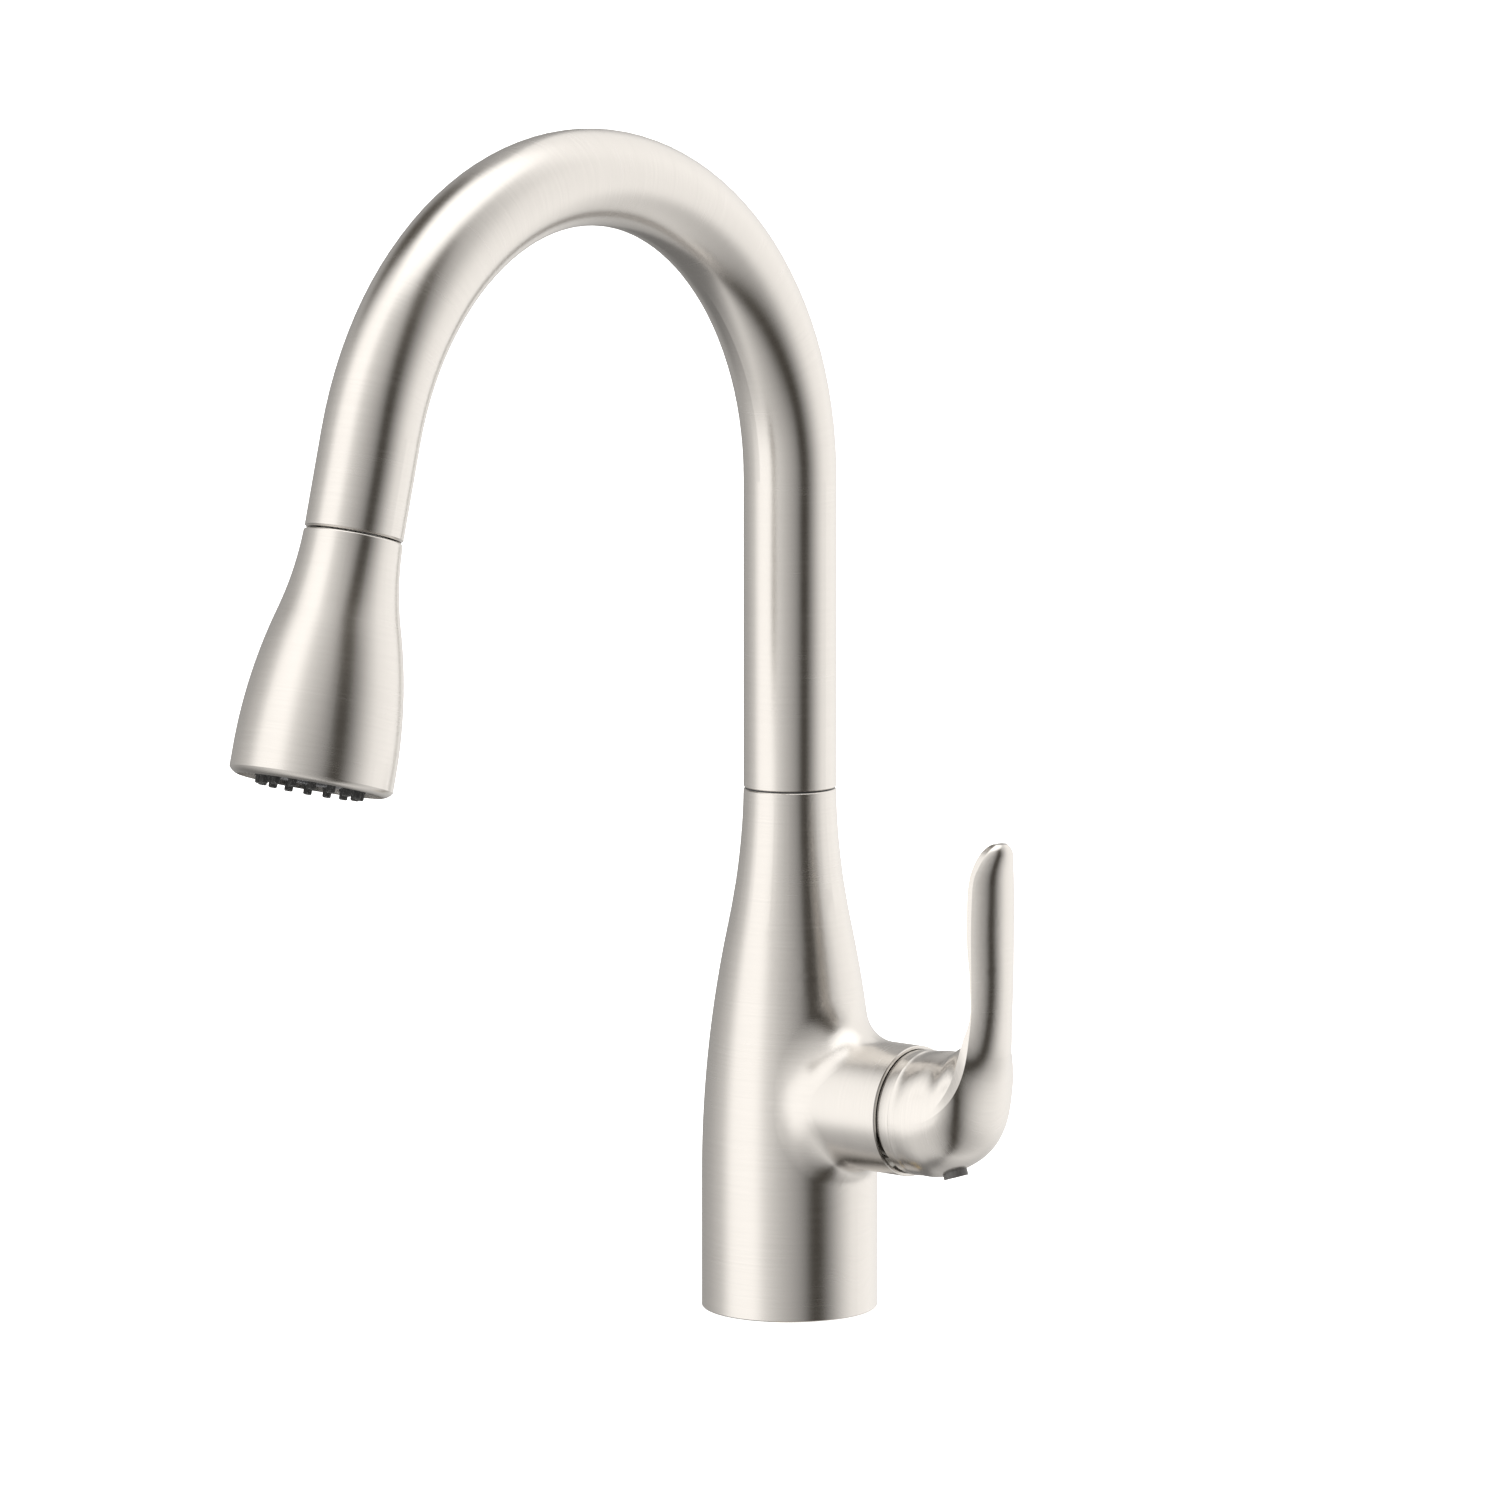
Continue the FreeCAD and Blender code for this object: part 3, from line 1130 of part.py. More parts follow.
# The rocker follows the shell's own outline, a little proud of it.
proud = shell_at(-d.rocker_proud)
sunk = shell_at(d.rocker_thick)
cover = turned_body("rocker_cover", [
    proud[1], Arc(158.9, 1), proud[2], sunk[2], Arc(158.9, -1), sunk[1]], HEAD)
pad = block("rocker_pad", -half_wide, half_wide, -d.head_radius - 3, -d.rocker_line / 2,
            rocker_low, rocker_high, HEAD)
cover = common("rocker_skin", cover, pad)
inner_ear = d.rocker_pin_length / 2 - d.ear_width - 0.3
boss = block("rocker_boss", -inner_ear, inner_ear, -d.rocker_line - 2.2,
             -d.rocker_line + 2.2, d.rocker_pivot - 2.2, d.rocker_pivot + 2.2, HEAD)
finger = block("rocker_finger", -d.finger_width / 2, d.finger_width / 2,
               -d.rocker_line, -d.finger_reach, d.rocker_pivot - d.finger_thick / 2,
               d.rocker_pivot + d.finger_thick / 2, HEAD)
rocker = joined("rocker_solid", [cover, boss, finger])
rocker_hole = head_cross_rod("rocker_hole", d.rocker_pin_radius + d.pin_fit, 2 * inner_ear + 4)
ear_room = []
for number, hand in enumerate((1, -1)):
    low_side = inner_ear if hand > 0 else -half_wide - 1
    high_side = half_wide + 1 if hand > 0 else -inner_ear
    if hand > 0:
        high_side = d.rocker_pin_length / 2 + 0.4
    else:
        low_side = -d.rocker_pin_length / 2 - 0.4
    ear_room.append(block("rocker_ear_room" + str(number), low_side, high_side,
                          -d.rocker_line - 2.9, -d.rocker_line + 6,
                          d.rocker_pivot - 3, d.rocker_pivot + 3, HEAD))
keep("spray_rocker", cut("spray_rocker", rocker, [rocker_hole] + ear_room))

plunger = rod("plunger_blank", d.plunger_radius, d.plunger_end - d.plunger_start, HEAD,
              d.plunger_start, 0, -d.plunger_line)
plunger_slot = block("plunger_slot", -4, 4, -d.plunger_line - 4, -d.finger_reach + 0.5,
                     d.rocker_pivot - d.finger_thick / 2 - d.finger_play,
                     d.rocker_pivot + d.finger_thick / 2 + d.finger_play, HEAD)
keep("diverter_plunger", cut("diverter_plunger", plunger, [plunger_slot]))


# ---------------------------------------------------------------- check and write

doc.recompute()
for thing in doc.Objects:
    if "Invalid" in thing.State or "Error" in thing.State:
        raise ValueError(thing.Label + " failed: " + str(thing.State))
for name, thing in nodes:
    shape = thing.Shape
    if shape.isNull() or not shape.isValid() or not shape.Solids:
        raise ValueError(name + " has no valid shape")
    print(name, len(shape.Solids), "solid,", round(shape.Volume), "mm3")
    shape.exportStep(os.path.join("parts", name + ".step"))
print(len(nodes), "pieces")
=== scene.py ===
import math

import bpy
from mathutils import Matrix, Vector


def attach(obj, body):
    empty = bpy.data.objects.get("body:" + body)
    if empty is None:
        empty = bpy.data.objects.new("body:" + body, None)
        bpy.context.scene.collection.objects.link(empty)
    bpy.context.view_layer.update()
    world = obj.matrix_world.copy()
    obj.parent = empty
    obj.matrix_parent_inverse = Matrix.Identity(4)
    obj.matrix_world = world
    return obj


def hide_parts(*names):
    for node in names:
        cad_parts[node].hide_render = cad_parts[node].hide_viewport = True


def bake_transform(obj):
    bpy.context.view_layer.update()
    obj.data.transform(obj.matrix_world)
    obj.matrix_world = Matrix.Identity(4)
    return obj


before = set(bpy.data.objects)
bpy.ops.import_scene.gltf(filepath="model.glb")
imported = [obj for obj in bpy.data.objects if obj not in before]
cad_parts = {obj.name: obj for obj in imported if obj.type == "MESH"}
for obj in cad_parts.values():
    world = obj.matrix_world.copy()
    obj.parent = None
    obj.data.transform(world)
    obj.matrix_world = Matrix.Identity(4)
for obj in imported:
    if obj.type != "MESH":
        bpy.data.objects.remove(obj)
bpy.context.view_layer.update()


# ---------------------------------------------------------------- camera
# A long lens stands about 2.2 m off, to the left of the lever and a little above the
# middle of the arch, and looks slightly down.
camera = bpy.data.objects.new("camera", bpy.data.cameras.new("camera"))
camera.data.sensor_width = 36.0
camera.data.lens = 163.6
camera.data.clip_end = 400.0
camera.location = (1.3914, -1.6824, 0.4602)
camera.rotation_euler = (math.radians(90.0 - 7.255), 0.0, math.radians(39.93))
bpy.context.scene.collection.objects.link(camera)
bpy.context.scene.camera = camera
bpy.context.scene.view_settings.view_transform = "Standard"


# ---------------------------------------------------------------- studio
# The faucet stands on a plain white worktop that runs off on every side, with a white
# sink cut into it under the spout.  A tall soft box lights it from the left and a wide
# one from the right, and a dark flag between them puts the dark line down every tube.
class Value:
    """A number that changes over a surface, so that sums on it read as sums."""

    def __init__(self, work, socket):
        self.work = work
        self.socket = socket

    def maths(self, operation, *others):
        sockets = {0: self}
        for place, other in enumerate(others, 1):
            sockets[place] = other
        return self.work.node("ShaderNodeMath", {"operation": operation}, sockets)[0]

    def __add__(self, other):
        return self.maths("ADD", other)

    def __sub__(self, other):
        return self.maths("SUBTRACT", other)

    def __rsub__(self, other):
        return self.work.node("ShaderNodeMath", {"operation": "SUBTRACT"}, {0: other, 1: self})[0]

    def __mul__(self, other):
        return self.maths("MULTIPLY", other)

    def __truediv__(self, other):
        return self.maths("DIVIDE", other)


class Work:
    """The nodes of one material or of the studio."""

    def __init__(self, tree):
        self.tree = tree

    def node(self, kind, settings=None, sockets=None):
        """Add a node, set it up, then join up its sockets; gives its outputs."""
        node = self.tree.nodes.new(kind)
        for name, value in (settings or {}).items():
            if name == "stops":
                ramp = node.color_ramp
                while len(ramp.elements) < len(value):
                    ramp.elements.new(0.5)
                for element, (place, colour) in zip(ramp.elements, value):
                    element.position = place
                    element.color = (*colour, 1.0)
            else:
                setattr(node, name, value)
        for name, value in (sockets or {}).items():
            self.join(value, node.inputs[name])
        return [Value(self, output) for output in node.outputs]

    def join(self, value, socket):
        if isinstance(value, Value):
            self.tree.links.new(value.socket, socket)
        else:
            socket.default_value = value


def alone():
    """Leave nothing selected, so that the next operator sees only its own piece."""
    bpy.ops.object.select_all(action="DESELECT")


SINK = 0.5
SINK_MIDDLE = -0.36
WORKTOP = -0.0003
alone()
bpy.ops.mesh.primitive_cube_add(size=SINK, location=(0.0, SINK_MIDDLE, WORKTOP - SINK / 2.0))
worktop = bpy.context.active_object
worktop.name = "worktop"
bpy.ops.object.mode_set(mode="EDIT")
bpy.ops.mesh.select_mode(type="FACE")
bpy.ops.mesh.select_all(action="DESELECT")
bpy.ops.object.mode_set(mode="OBJECT")
for face in worktop.data.polygons:
    face.select = face.normal.z > 0.5
# The rim of the box runs out flat into a worktop 300 m wide, and its lid is left out.
bpy.ops.object.mode_set(mode="EDIT")
bpy.ops.mesh.extrude_region_move(TRANSFORM_OT_translate={"value": (0.0, 0.0, 0.0)})
bpy.ops.transform.resize(
    value=(600.0, 600.0, 1.0), center_override=(0.0, SINK_MIDDLE, WORKTOP))
bpy.ops.mesh.delete(type="ONLY_FACE")
bpy.ops.mesh.select_mode(type="VERT")
bpy.ops.object.mode_set(mode="OBJECT")
worktop.visible_glossy = False
white = bpy.data.materials.new("worktop_white")
white.use_nodes = True
enamel = white.node_tree.nodes["Principled BSDF"].inputs
enamel["Base Color"].default_value = (0.93, 0.93, 0.93, 1.0)
enamel["Roughness"].default_value = 0.9
enamel["Specular IOR Level"].default_value = 0.0
enamel["Emission Color"].default_value = (1.0, 1.0, 1.0, 1.0)
enamel["Emission Strength"].default_value = 1.0
worktop.data.materials.append(white)

studio = bpy.data.worlds.new("studio")
studio.use_nodes = True
studio.node_tree.nodes.clear()
bpy.context.scene.world = studio
light = Work(studio.node_tree)
towards = light.node("ShaderNodeTexCoord")[0]
east, north, up = light.node("ShaderNodeSeparateXYZ", None, {0: towards})
# The share of a turn about the faucet, from straight behind it and back again.
facing = math.radians(-50.4)
round_x = east * math.cos(facing) + north * math.sin(facing)
round_y = north * math.cos(facing) - east * math.sin(facing)
turn = round_y.maths("ARCTAN2", round_x) / (2.0 * math.pi) + 0.5


def grey(level, warmth):
    return (level, level * (1.0 - 0.03 * warmth), level * (1.0 - 0.07 * warmth))


def at(degrees):
    return (degrees + 180.0) / 360.0


def ring(*stops):
    """The brightness all round the faucet at one height, from straight behind it."""
    return light.node("ShaderNodeValToRGB", {"stops": [
        (at(degrees), grey(level, 6.0 if level < 0.15 else 0.6)) for degrees, level in stops]},
        {0: turn})[0]


def rising(low, high):
    return light.node("ShaderNodeMapRange", {"interpolation_type": "SMOOTHSTEP"}, {
        "Value": up, "From Min": low, "From Max": high})[0]


def over(lower, upper, share):
    return light.node("ShaderNodeMix", {"data_type": "RGBA"}, {0: share, 6: lower, 7: upper})[2]


level = ring(
    (-180, 0.34), (-128, 0.50), (-100, 0.74), (-82, 1.36), (-46, 1.42), (-32, 0.92),
    (-12, 0.66), (8, 0.46), (22, 0.28), (28, 0.035), (42, 0.035), (56, 0.38), (74, 0.84),
    (90, 1.14), (128, 1.26), (162, 1.05), (180, 0.45))
high = ring(
    (-180, 0.55), (-165, 0.45), (-150, 0.06), (-126, 0.06), (-108, 0.70), (-84, 1.40),
    (-50, 1.50), (-28, 0.90), (12, 0.55), (29, 0.06), (42, 0.06), (60, 0.60), (110, 1.25),
    (180, 1.1))
low = ring(
    (-180, 0.20), (-130, 0.22), (-95, 0.55), (-60, 0.90), (0, 0.42), (29, 0.04), (42, 0.04),
    (70, 0.55), (120, 0.90), (165, 0.60), (180, 0.40))
all_round = over(
    over(low, level, rising(-0.62, -0.25)),
    over(high, (1.7, 1.68, 1.65, 1.0), rising(0.80, 0.96)), rising(0.32, 0.62))
glow = light.node("ShaderNodeBackground", None, {"Color": all_round, "Strength": 1.0})[0]
light.node("ShaderNodeOutputWorld", None, {"Surface": glow})


# ---------------------------------------------------------------- body
# The body and its side hub are one brass casting, turned and brushed on a wheel while it
# spins, then nickel plated.  The marks run in fine rings, which cross over on the hub.
class Finish(Work):
    """A material on the standard shader, with the surface's own position to hand."""

    def __init__(self, name, colour, roughness, metallic=0.0, **constants):
        self.material = bpy.data.materials.new(name)
        self.material.use_nodes = True
        super().__init__(self.material.node_tree)
        self.shader = self.tree.nodes["Principled BSDF"]
        self.set("Base Color", (*colour, 1.0))
        self.set("Roughness", roughness)
        self.set("Metallic", metallic)
        for socket, value in constants.items():
            self.set(socket.replace("_", " "), value)
        self.place = self.node("ShaderNodeTexCoord")[3]
        self.x, self.y, self.z = self.node("ShaderNodeSeparateXYZ", None, {0: self.place})

    def set(self, socket, value):
        self.join(value, self.shader.inputs[socket])

    def point(self, x, y, z):
        return self.node("ShaderNodeCombineXYZ", None, {0: x, 1: y, 2: z})[0]

    def grain(self, where, scale):
        return self.node("ShaderNodeTexNoise", None, {
            "Vector": where, "Scale": scale, "Detail": 2.0, "Roughness": 0.6})[0]

    def bump(self, height, distance):
        self.set("Normal", self.node("ShaderNodeBump", None, {
            "Height": height, "Distance": distance, "Strength": 1.0})[0])

    def shade(self, amount, dark, light_colour):
        """The colour goes from dark to light as the amount goes from 0 to 1."""
        self.set("Base Color", self.node("ShaderNodeMix", {"data_type": "RGBA"}, {
            0: amount, 6: (*dark, 1.0), 7: (*light_colour, 1.0)})[2])


def nearer(a, b, share):
    """A value that goes from a to b as the share goes from 0 to 1."""
    return a + (b - a) * share


NICKEL_DARK = (0.690, 0.664, 0.632)
NICKEL_LIGHT = (0.770, 0.742, 0.708)


def brush(finish, around_x, around_y, stacking):
    """Fine marks that run around the form and are stacked along it."""
    def streaks(across, stacked):
        return finish.grain(finish.point(
            around_x * across, around_y * across, stacking * stacked), 1.0)

    long_marks = streaks(22.0, 1700.0)
    short_marks = streaks(90.0, 4200.0)
    patches = streaks(30.0, 60.0)
    marks = long_marks * 0.5 + short_marks * 0.5
    finish.shade(marks * 1.4 - 0.2, NICKEL_DARK, NICKEL_LIGHT)
    finish.set("Roughness", marks * 0.10 + patches * 0.05 + 0.18)
    finish.bump(marks, 0.000010)
    return finish.material


def paint(node, material):
    """Give a CAD piece its finish."""
    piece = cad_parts[node]
    piece.data.materials.clear()
    piece.data.materials.append(material)


cast = Finish("brushed_nickel_body", NICKEL_LIGHT, 0.26, 1.0)
# Past the body's side the rings turn over to run about the hub's axis.
HUB_STARTS = 0.026
HUB_ALONE = 0.034
on_hub = cast.node("ShaderNodeMapRange", {"interpolation_type": "SMOOTHSTEP"}, {
    "Value": cast.x, "From Min": HUB_STARTS, "From Max": HUB_ALONE})[0]
paint("faucet_body", brush(
    cast,
    nearer(cast.x, cast.z, on_hub),
    cast.y,
    nearer(cast.z, cast.x, on_hub)))


# ---------------------------------------------------------------- spout
# The spout is a 30 mm brass tube bent to a gooseneck, brushed around its length and
# nickel plated.  It turns on the body at a fine seam.
arch = Finish("brushed_nickel_spout", NICKEL_LIGHT, 0.26, 1.0)
BEND = math.radians(165.0)
BEND_RADIUS = 0.100
BEND_HEIGHT = 0.270
from_centre = arch.y + BEND_RADIUS
above_centre = arch.z - BEND_HEIGHT
bend = above_centre.maths("MAXIMUM", 0.0).maths("ARCTAN2", from_centre).maths("MINIMUM", BEND)
in_front = from_centre.maths("LESS_THAN", 0.0)
down_tail = (from_centre * -math.sin(BEND) + above_centre * math.cos(BEND)).maths(
    "MAXIMUM", 0.0)
up_tube = above_centre.maths("MINIMUM", 0.0)
paint("spout_tube", brush(
    arch, arch.x, (from_centre * from_centre + above_centre * above_centre).maths("SQRT"),
    up_tube * (1.0 - in_front) + bend * BEND_RADIUS + down_tail * in_front))


# ---------------------------------------------------------------- spray head
# The head's shell is one brass casting, turned and brushed like the body.  The rocker
# switch at its back is pressed from the same nickel-plated stock.
DOWN_HEAD = (0.0, -math.sin(BEND), math.cos(BEND))
ACROSS_HEAD = (0.0, math.cos(BEND), math.sin(BEND))


def along(finish, direction):
    """How far a point lies in one direction."""
    return finish.node("ShaderNodeVectorMath", {"operation": "DOT_PRODUCT"}, {
        0: finish.place, 1: direction})[1]


head = Finish("brushed_nickel_head", NICKEL_LIGHT, 0.26, 1.0)
paint("spray_head_shell", brush(
    head, head.x, along(head, ACROSS_HEAD), along(head, DOWN_HEAD)))
switch = Finish("brushed_nickel_switch", NICKEL_LIGHT, 0.28, 1.0)
paint("spray_rocker", brush(
    switch, along(switch, DOWN_HEAD), switch.y, switch.x))


# ---------------------------------------------------------------- lever
# The lever is a zinc casting.  It is brushed around its dome, round the elbow and on
# across the blade, so the marks fan out with the form.
blade = Finish("brushed_nickel_lever", NICKEL_LIGHT, 0.25, 1.0)
ELBOW_OUT = 0.069
ELBOW_UP = 0.106
ELBOW_RADIUS = 0.036
past_elbow = blade.x - ELBOW_OUT
over_elbow = blade.z - ELBOW_UP
fan = over_elbow.maths("MINIMUM", 0.0).maths(
    "ARCTAN2", past_elbow.maths("MAXIMUM", 0.0)) + math.pi / 2.0
paint("handle_lever", brush(
    blade, blade.y,
    (past_elbow * past_elbow + over_elbow * over_elbow).maths("SQRT"),
    past_elbow.maths("MINIMUM", 0.0) + fan * ELBOW_RADIUS + over_elbow.maths(
        "MAXIMUM", 0.0)))


# ---------------------------------------------------------------- bonnet
# A thin spun brass half ball closes the valve, and the lever's dome turns over it.  It
# is polished, with faint turning rings about the hub's axis.  Its colour is painted dark
# all over as painted shade, standing in for the shade in the gap under the lever's dome.
# Painted shade: the base colour and both ring colours are dark greys in place of nickel, for the
# shade under the dome.
ball = Finish("polished_nickel", (0.30, 0.29, 0.27), 0.12, 1.0)
rings = ball.grain(ball.point(ball.x * 5200.0, ball.y * 20.0, ball.z * 20.0), 1.0)
ball.shade(rings, (0.27, 0.26, 0.24), (0.33, 0.32, 0.30))
ball.set("Roughness", rings * 0.08 + 0.08)
ball.bump(rings, 0.000005)
paint("bonnet", ball.material)


# ---------------------------------------------------------------- valve
# The mixing cartridge has a moulded nylon housing and lever carrier.  Two lapped
# ceramic discs turn and slide on each other inside, and a brass nut holds it in.
def moulded(name, colour, darker, roughness):
    """Moulded plastic: even, with the faint skin of a spark-finished mould."""
    plastic = Finish(name, colour, roughness)
    skin = plastic.grain(plastic.place, 1800.0)
    cloud = plastic.grain(plastic.place, 55.0)
    plastic.shade(cloud * 0.7 + skin * 0.3, darker, colour)
    plastic.set("Roughness", skin * 0.16 + (roughness - 0.08))
    plastic.bump(skin, 0.00002)
    return plastic.material


def lapped(name, colour, darker, roughness):
    """Fired ceramic, ground flat: speckled and nearly glossy."""
    disc = Finish(name, colour, roughness, 0.0, Coat_Weight=0.25, Coat_Roughness=0.08)
    fleck = disc.grain(disc.place, 2600.0)
    disc.shade(fleck, darker, colour)
    disc.set("Roughness", fleck * 0.12 + roughness)
    disc.bump(fleck, 0.000004)
    return disc.material


def turned(name, colour, darker, roughness, direction):
    """Metal turned on a lathe: fine rings stacked along the piece's own axis."""
    metal = Finish(name, colour, roughness, 1.0)
    step = along(metal, direction)
    cut = metal.grain(metal.point(step * 3400.0, metal.x * 25.0, metal.y * 25.0), 1.0)
    tarnish = metal.grain(metal.place, 90.0)
    metal.shade(cut * 0.4 + tarnish * 0.6, darker, colour)
    metal.set("Roughness", cut * 0.12 + tarnish * 0.10 + (roughness - 0.10))
    metal.bump(cut, 0.000012)
    return metal.material


SIDEWAYS = (1.0, 0.0, 0.0)
FRONT_TO_BACK = (0.0, 1.0, 0.0)
UPRIGHT = (0.0, 0.0, 1.0)
BRASS = (0.80, 0.62, 0.33)
BRASS_DARK = (0.66, 0.49, 0.24)
STEEL = (0.60, 0.60, 0.60)
STEEL_DARK = (0.48, 0.48, 0.48)
white_nylon = moulded("white_nylon", (0.80, 0.79, 0.76), (0.72, 0.71, 0.68), 0.42)
ceramic = lapped("alumina_ceramic", (0.86, 0.84, 0.80), (0.76, 0.74, 0.70), 0.20)
hub_brass = turned("brass_on_hub", BRASS, BRASS_DARK, 0.30, SIDEWAYS)
for node in ("cartridge_housing", "stem_carrier", "disc_slider"):
    paint(node, white_nylon)
for node in ("fixed_ceramic_disc", "moving_ceramic_disc"):
    paint(node, ceramic)
for node in ("cartridge_nut", "cartridge_stem"):
    paint(node, hub_brass)
paint("stem_pin", turned(
    "steel_pin", STEEL, STEEL_DARK, 0.24, FRONT_TO_BACK))


# ---------------------------------------------------------------- lever screw and plug
# A steel grub screw under the elbow grips the stem, and a grey moulded plug is pressed
# in over it.
paint("handle_set_screw", turned(
    "steel_upright", (0.58, 0.57, 0.56), (0.44, 0.43, 0.42), 0.30, UPRIGHT))
paint("handle_plug", moulded(
    "grey_plug", (0.085, 0.083, 0.080), (0.055, 0.053, 0.051), 0.35))


# ---------------------------------------------------------------- spout bearing
# A brass collar brazed into the tube stands down in the body.  It runs on a slippery
# glide ring at the seam and on two rubber rings, and a small screw keeps it in.
brass = turned("brass_upright", BRASS, BRASS_DARK, 0.30, UPRIGHT)
paint("spout_collar", brass)
acetal = moulded("black_acetal", (0.030, 0.030, 0.031), (0.018, 0.018, 0.019), 0.34)
paint("spout_glide_ring", acetal)
paint("spout_keeper_screw", turned(
    "steel_keeper", STEEL, STEEL_DARK, 0.26, FRONT_TO_BACK))


# ---------------------------------------------------------------- deck fixing
# A brass shank with a rolled thread hangs from the body through the worktop, and a
# moulded rubber gasket seals the body's edge to it.
paint("mounting_shank", brass)


def rubber(name, colour, darker):
    """Moulded rubber: dull, with a little bloom on it."""
    soft = Finish(name, colour, 0.62)
    bloom = soft.grain(soft.place, 160.0)
    pores = soft.grain(soft.place, 3200.0)
    soft.shade(bloom * 0.8 + pores * 0.2, darker, colour)
    soft.set("Roughness", bloom * 0.2 + 0.5)
    soft.bump(pores, 0.00002)
    return soft.material


black_rubber = rubber("black_rubber", (0.030, 0.029, 0.028), (0.014, 0.014, 0.014))
for node in ("base_gasket", "spout_ring_lower", "spout_ring_upper"):
    paint(node, black_rubber)


# ---------------------------------------------------------------- docking end
# A moulded guide and a ring magnet are fixed in the spout's end.  The magnet pulls on a
# thin steel strike ring on the head's collar, and so holds the head home.
paint("docking_guide", acetal)
ferrite = lapped("ferrite_magnet", (0.075, 0.073, 0.072), (0.035, 0.034, 0.034), 0.35)
paint("dock_magnet", ferrite)
head_steel = turned("steel_on_head", (0.62, 0.61, 0.60), (0.50, 0.49, 0.48), 0.28, DOWN_HEAD)
paint("dock_strike_ring", head_steel)
paint("head_collar", white_nylon)


# ---------------------------------------------------------------- hose
# The hose is a rubber tube in a tight grey nylon braid.  It runs from under the worktop
# up through the body and round the gooseneck, and its last length slides out of the end
# of the spout behind the spray head.
HOSE = 0.0066
HOSE_BORE = 0.0042
HOSE_FOOT = -0.058
HOSE_END = -0.0185
BRAID_START = -0.0285
SPOUT_TAIL = 0.0304
LAP = 0.0002
ROWS = 48
HEAD_JOINT = Vector((0.0, -0.204461, 0.266518))


def ring_of_points(name, radius, height, count):
    """A circle to pull a form out of; leaves it in edit mode, selected."""
    alone()
    bpy.ops.mesh.primitive_circle_add(vertices=count, radius=radius, location=(0, 0, height))
    piece = bpy.context.active_object
    piece.name = name
    bpy.ops.object.transform_apply(location=True, rotation=True, scale=True)
    bpy.ops.object.mode_set(mode="EDIT")
    bpy.ops.mesh.select_all(action="SELECT")
    return piece


def pull(rise, direction=UPRIGHT):
    bpy.ops.mesh.extrude_region_move(TRANSFORM_OT_translate={
        "value": tuple(rise * part for part in direction)})


def close_up():
    """Merge doubles and turn every face outwards; back to object mode."""
    bpy.ops.mesh.select_all(action="SELECT")
    bpy.ops.mesh.remove_doubles(threshold=0.000005)
    bpy.ops.mesh.normals_make_consistent(inside=False)
    bpy.ops.object.mode_set(mode="OBJECT")


def walled(piece, thickness, angle=40.0):
    """Give a shell its wall, inwards, and smooth its sides."""
    wall = piece.modifiers.new("wall", "SOLIDIFY")
    wall.thickness = thickness
    wall.offset = -1.0
    wall.use_even_offset = True
    bpy.ops.object.modifier_apply(modifier="wall")
    bpy.ops.object.shade_smooth_by_angle(angle=math.radians(angle))


def braid(name, around, along_hose):
    """Two families of strands that cross over and under each other."""
    yarn = Finish(name, (0.42, 0.42, 0.43), 0.5)
    turn_share = around(yarn)
    length = along_hose(yarn) * 620.0
    right_hand = (turn_share * 14.0 + length).maths("SINE")
    left_hand = (turn_share * 14.0 - length).maths("SINE")
    strands = right_hand.maths("MAXIMUM", left_hand) * 0.5 + 0.5
    tracer = (turn_share * 2.0 + length / 7.0).maths("SINE").maths("GREATER_THAN", 0.93)
    fibre = yarn.grain(yarn.place, 2500.0)
    yarn.shade(strands * 0.8 + fibre * 0.3, (0.10, 0.10, 0.105), (0.47, 0.47, 0.48))
    yarn.set("Roughness", fibre * 0.15 + tracer * 0.05 + 0.40)
    yarn.bump(strands + fibre * 0.15, 0.00035)
    return yarn.material


def past_bend_height(yarn):
    return (yarn.z - BEND_HEIGHT).maths("MAXIMUM", 0.0)


def around_riser(yarn):
    """The angle round the hose, up the straight and on round the bend."""
    out = yarn.y + BEND_RADIUS
    above = past_bend_height(yarn)
    from_centre = (out * out + above * above).maths("SQRT")
    return yarn.x.maths("ARCTAN2", from_centre - BEND_RADIUS)


def along_riser(yarn):
    """The length of hose below a point, up the straight and on round the bend."""
    bend = past_bend_height(yarn).maths("ARCTAN2", yarn.y + BEND_RADIUS)
    return yarn.z.maths("MINIMUM", BEND_HEIGHT) + bend * BEND_RADIUS


riser = ring_of_points("hose_riser", HOSE, HOSE_FOOT, 40)
for half in range(2):
    pull((BEND_HEIGHT - HOSE_FOOT) / 2)
bpy.ops.mesh.spin(
    steps=66, angle=-BEND, center=(0.0, -BEND_RADIUS, BEND_HEIGHT), axis=SIDEWAYS)
pull(SPOUT_TAIL + BRAID_START, DOWN_HEAD)
close_up()
walled(riser, HOSE - HOSE_BORE)
riser.data.materials.append(braid("braid_in_riser", around_riser, along_riser))
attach(riser, "spout")
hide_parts("spray_hose")


def place_on_head(piece):
    """Turn a piece made upright into line with the spray head, in its mesh."""
    piece.rotation_euler = (BEND, 0.0, 0.0)
    piece.location = HEAD_JOINT
    bpy.ops.object.transform_apply(location=True, rotation=True, scale=True)


def around_pulled(yarn):
    """The angle round the hose below the spout's end."""
    across = along(yarn, ACROSS_HEAD) - HEAD_JOINT.dot(Vector(ACROSS_HEAD))
    return yarn.x.maths("ARCTAN2", across)


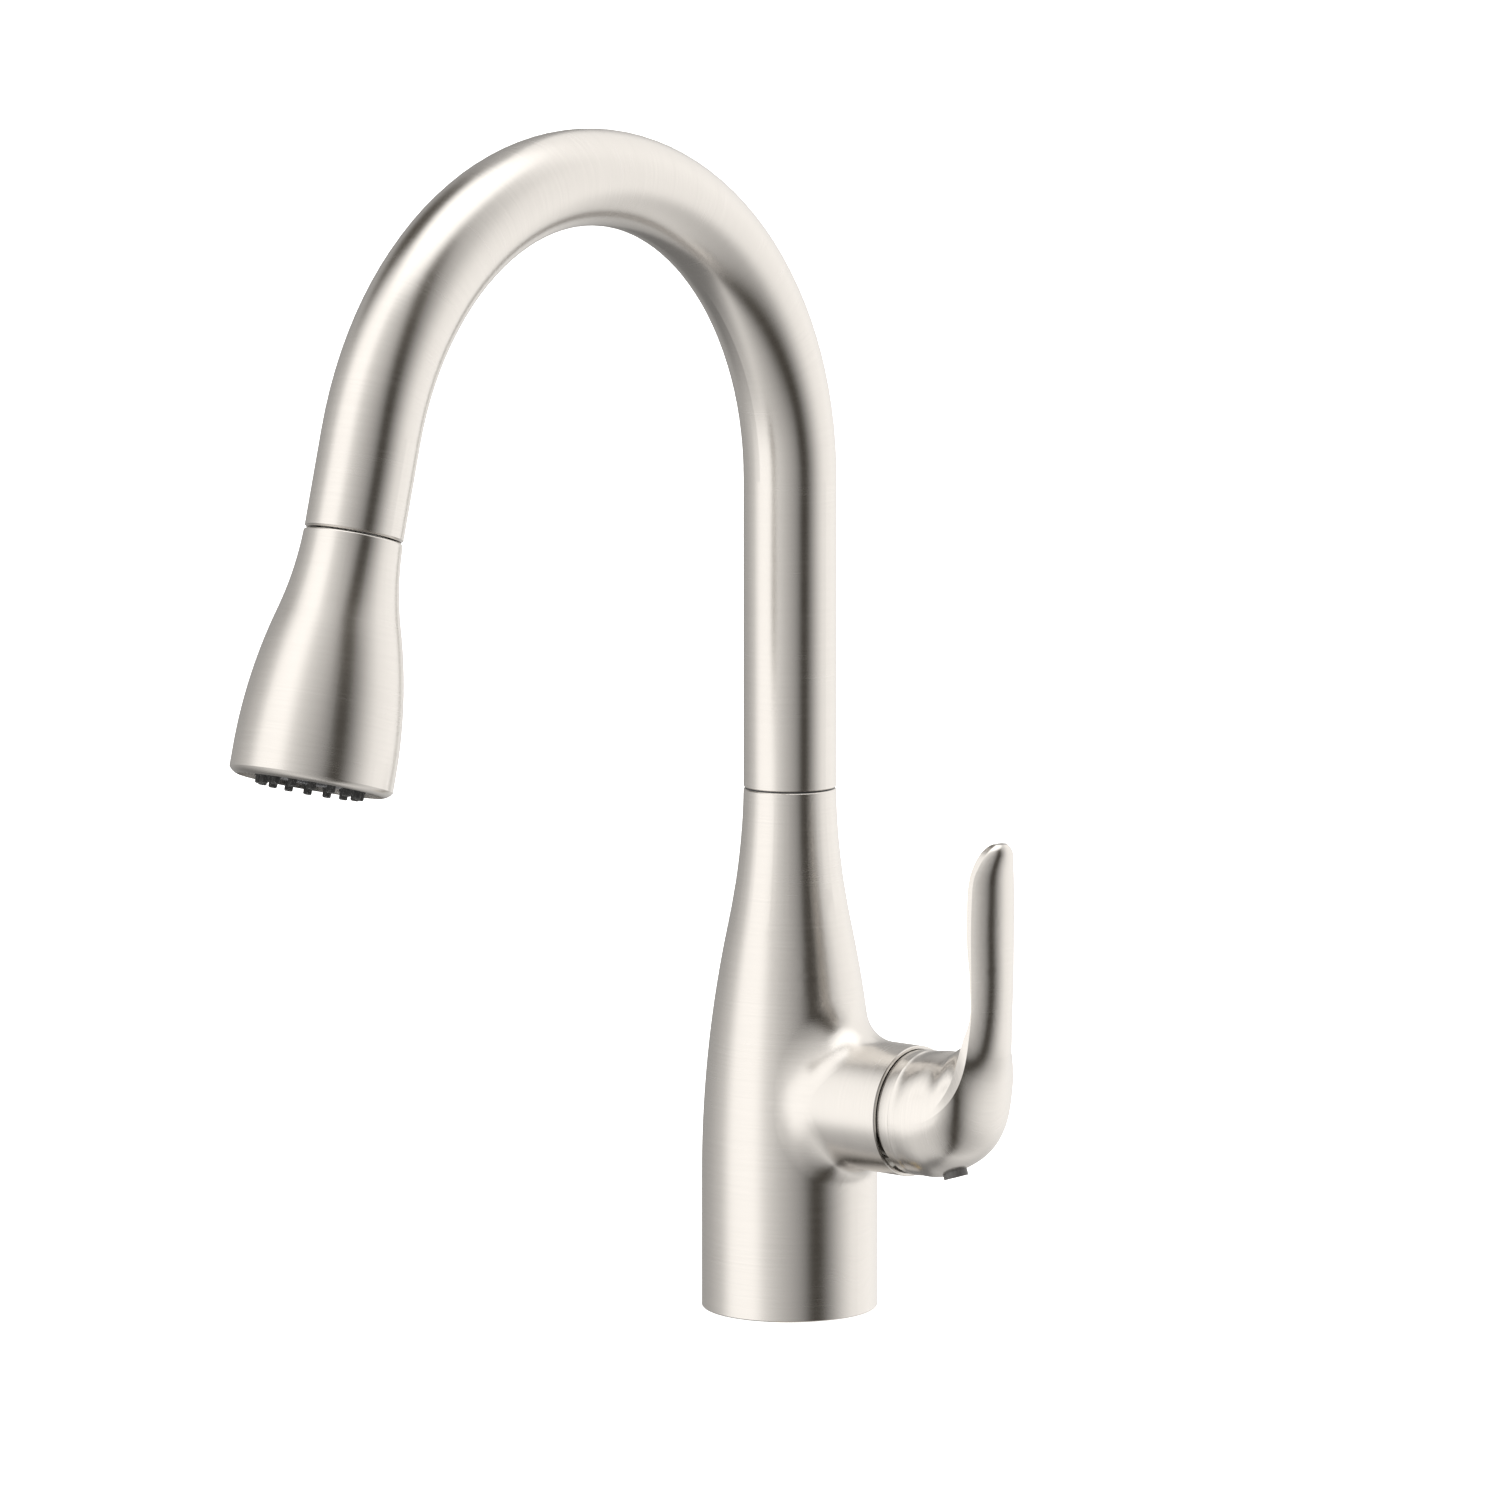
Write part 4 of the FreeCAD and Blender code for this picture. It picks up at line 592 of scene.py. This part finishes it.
pulled = ring_of_points("hose_pull_length", HOSE, BRAID_START + LAP, 40)
for row in range(ROWS):
    pull((HOSE_END - BRAID_START - LAP) / ROWS)
close_up()
walled(pulled, HOSE - HOSE_BORE)
place_on_head(pulled)
pulled.data.materials.append(braid(
    "braid_on_pull_length", around_pulled, lambda yarn: along(yarn, DOWN_HEAD)))
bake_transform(pulled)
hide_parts("spray_hose")


# ---------------------------------------------------------------- hose end
# A stainless sleeve is crimped round the hose in three rings.  A brass swivel nut
# carries the head on its spigot, on a flat rubber washer.
FERRULE = 0.0082
FERRULE_TOP = -0.0300
EDGE = 0.0006
sleeve = ring_of_points("crimped_ferrule", FERRULE - EDGE, FERRULE_TOP, 48)
# Each step is how far the outline goes on and how much wider it gets.
steps = [(0.0004, EDGE)]
for crimp in range(3):
    steps += [(0.0016, 0.0), (0.0005, -0.00055), (0.0013, 0.0), (0.0005, 0.00055)]
steps += [(0.0015, 0.0), (0.0004, -EDGE)]
radius = FERRULE - EDGE
for rise, wider in steps:
    pull(rise)
    if wider:
        share = (radius + wider) / radius
        bpy.ops.transform.resize(
            value=(share, share, 1.0), center_override=(0.0, 0.0, 0.0))
    radius += wider
close_up()
walled(sleeve, 0.0007, 30.0)
place_on_head(sleeve)
sleeve.data.materials.append(head_steel)
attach(sleeve, "hose_end")
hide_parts("hose_ferrule")
head_brass = turned("brass_on_head", BRASS, BRASS_DARK, 0.30, DOWN_HEAD)
paint("hose_swivel_nut", head_brass)
paint("hose_washer", black_rubber)


# ---------------------------------------------------------------- inside the spray head
# Water runs through a check valve and the diverter, which the rocker switches through a
# small plunger.  These are moulded nylon.
for node in ("head_waterway", "check_valve", "diverter_housing", "diverter_plunger"):
    paint(node, white_nylon)
paint("rocker_pin", turned(
    "steel_rocker_pin", STEEL, STEEL_DARK, 0.26, SIDEWAYS))


# ---------------------------------------------------------------- spray face
# A black moulded plate closes the head.  Sixteen rubber nubs stand through it, so that
# scale rubs off, round an aerator with a fine steel mesh.
paint("nozzle_plate", moulded(
    "black_face_plate", (0.028, 0.028, 0.029), (0.016, 0.016, 0.017), 0.30))
paint("spray_nozzles", black_rubber)
paint("aerator_housing", moulded(
    "aerator_acetal", (0.050, 0.050, 0.052), (0.034, 0.034, 0.036), 0.36))
paint("aerator_mesh", head_steel)
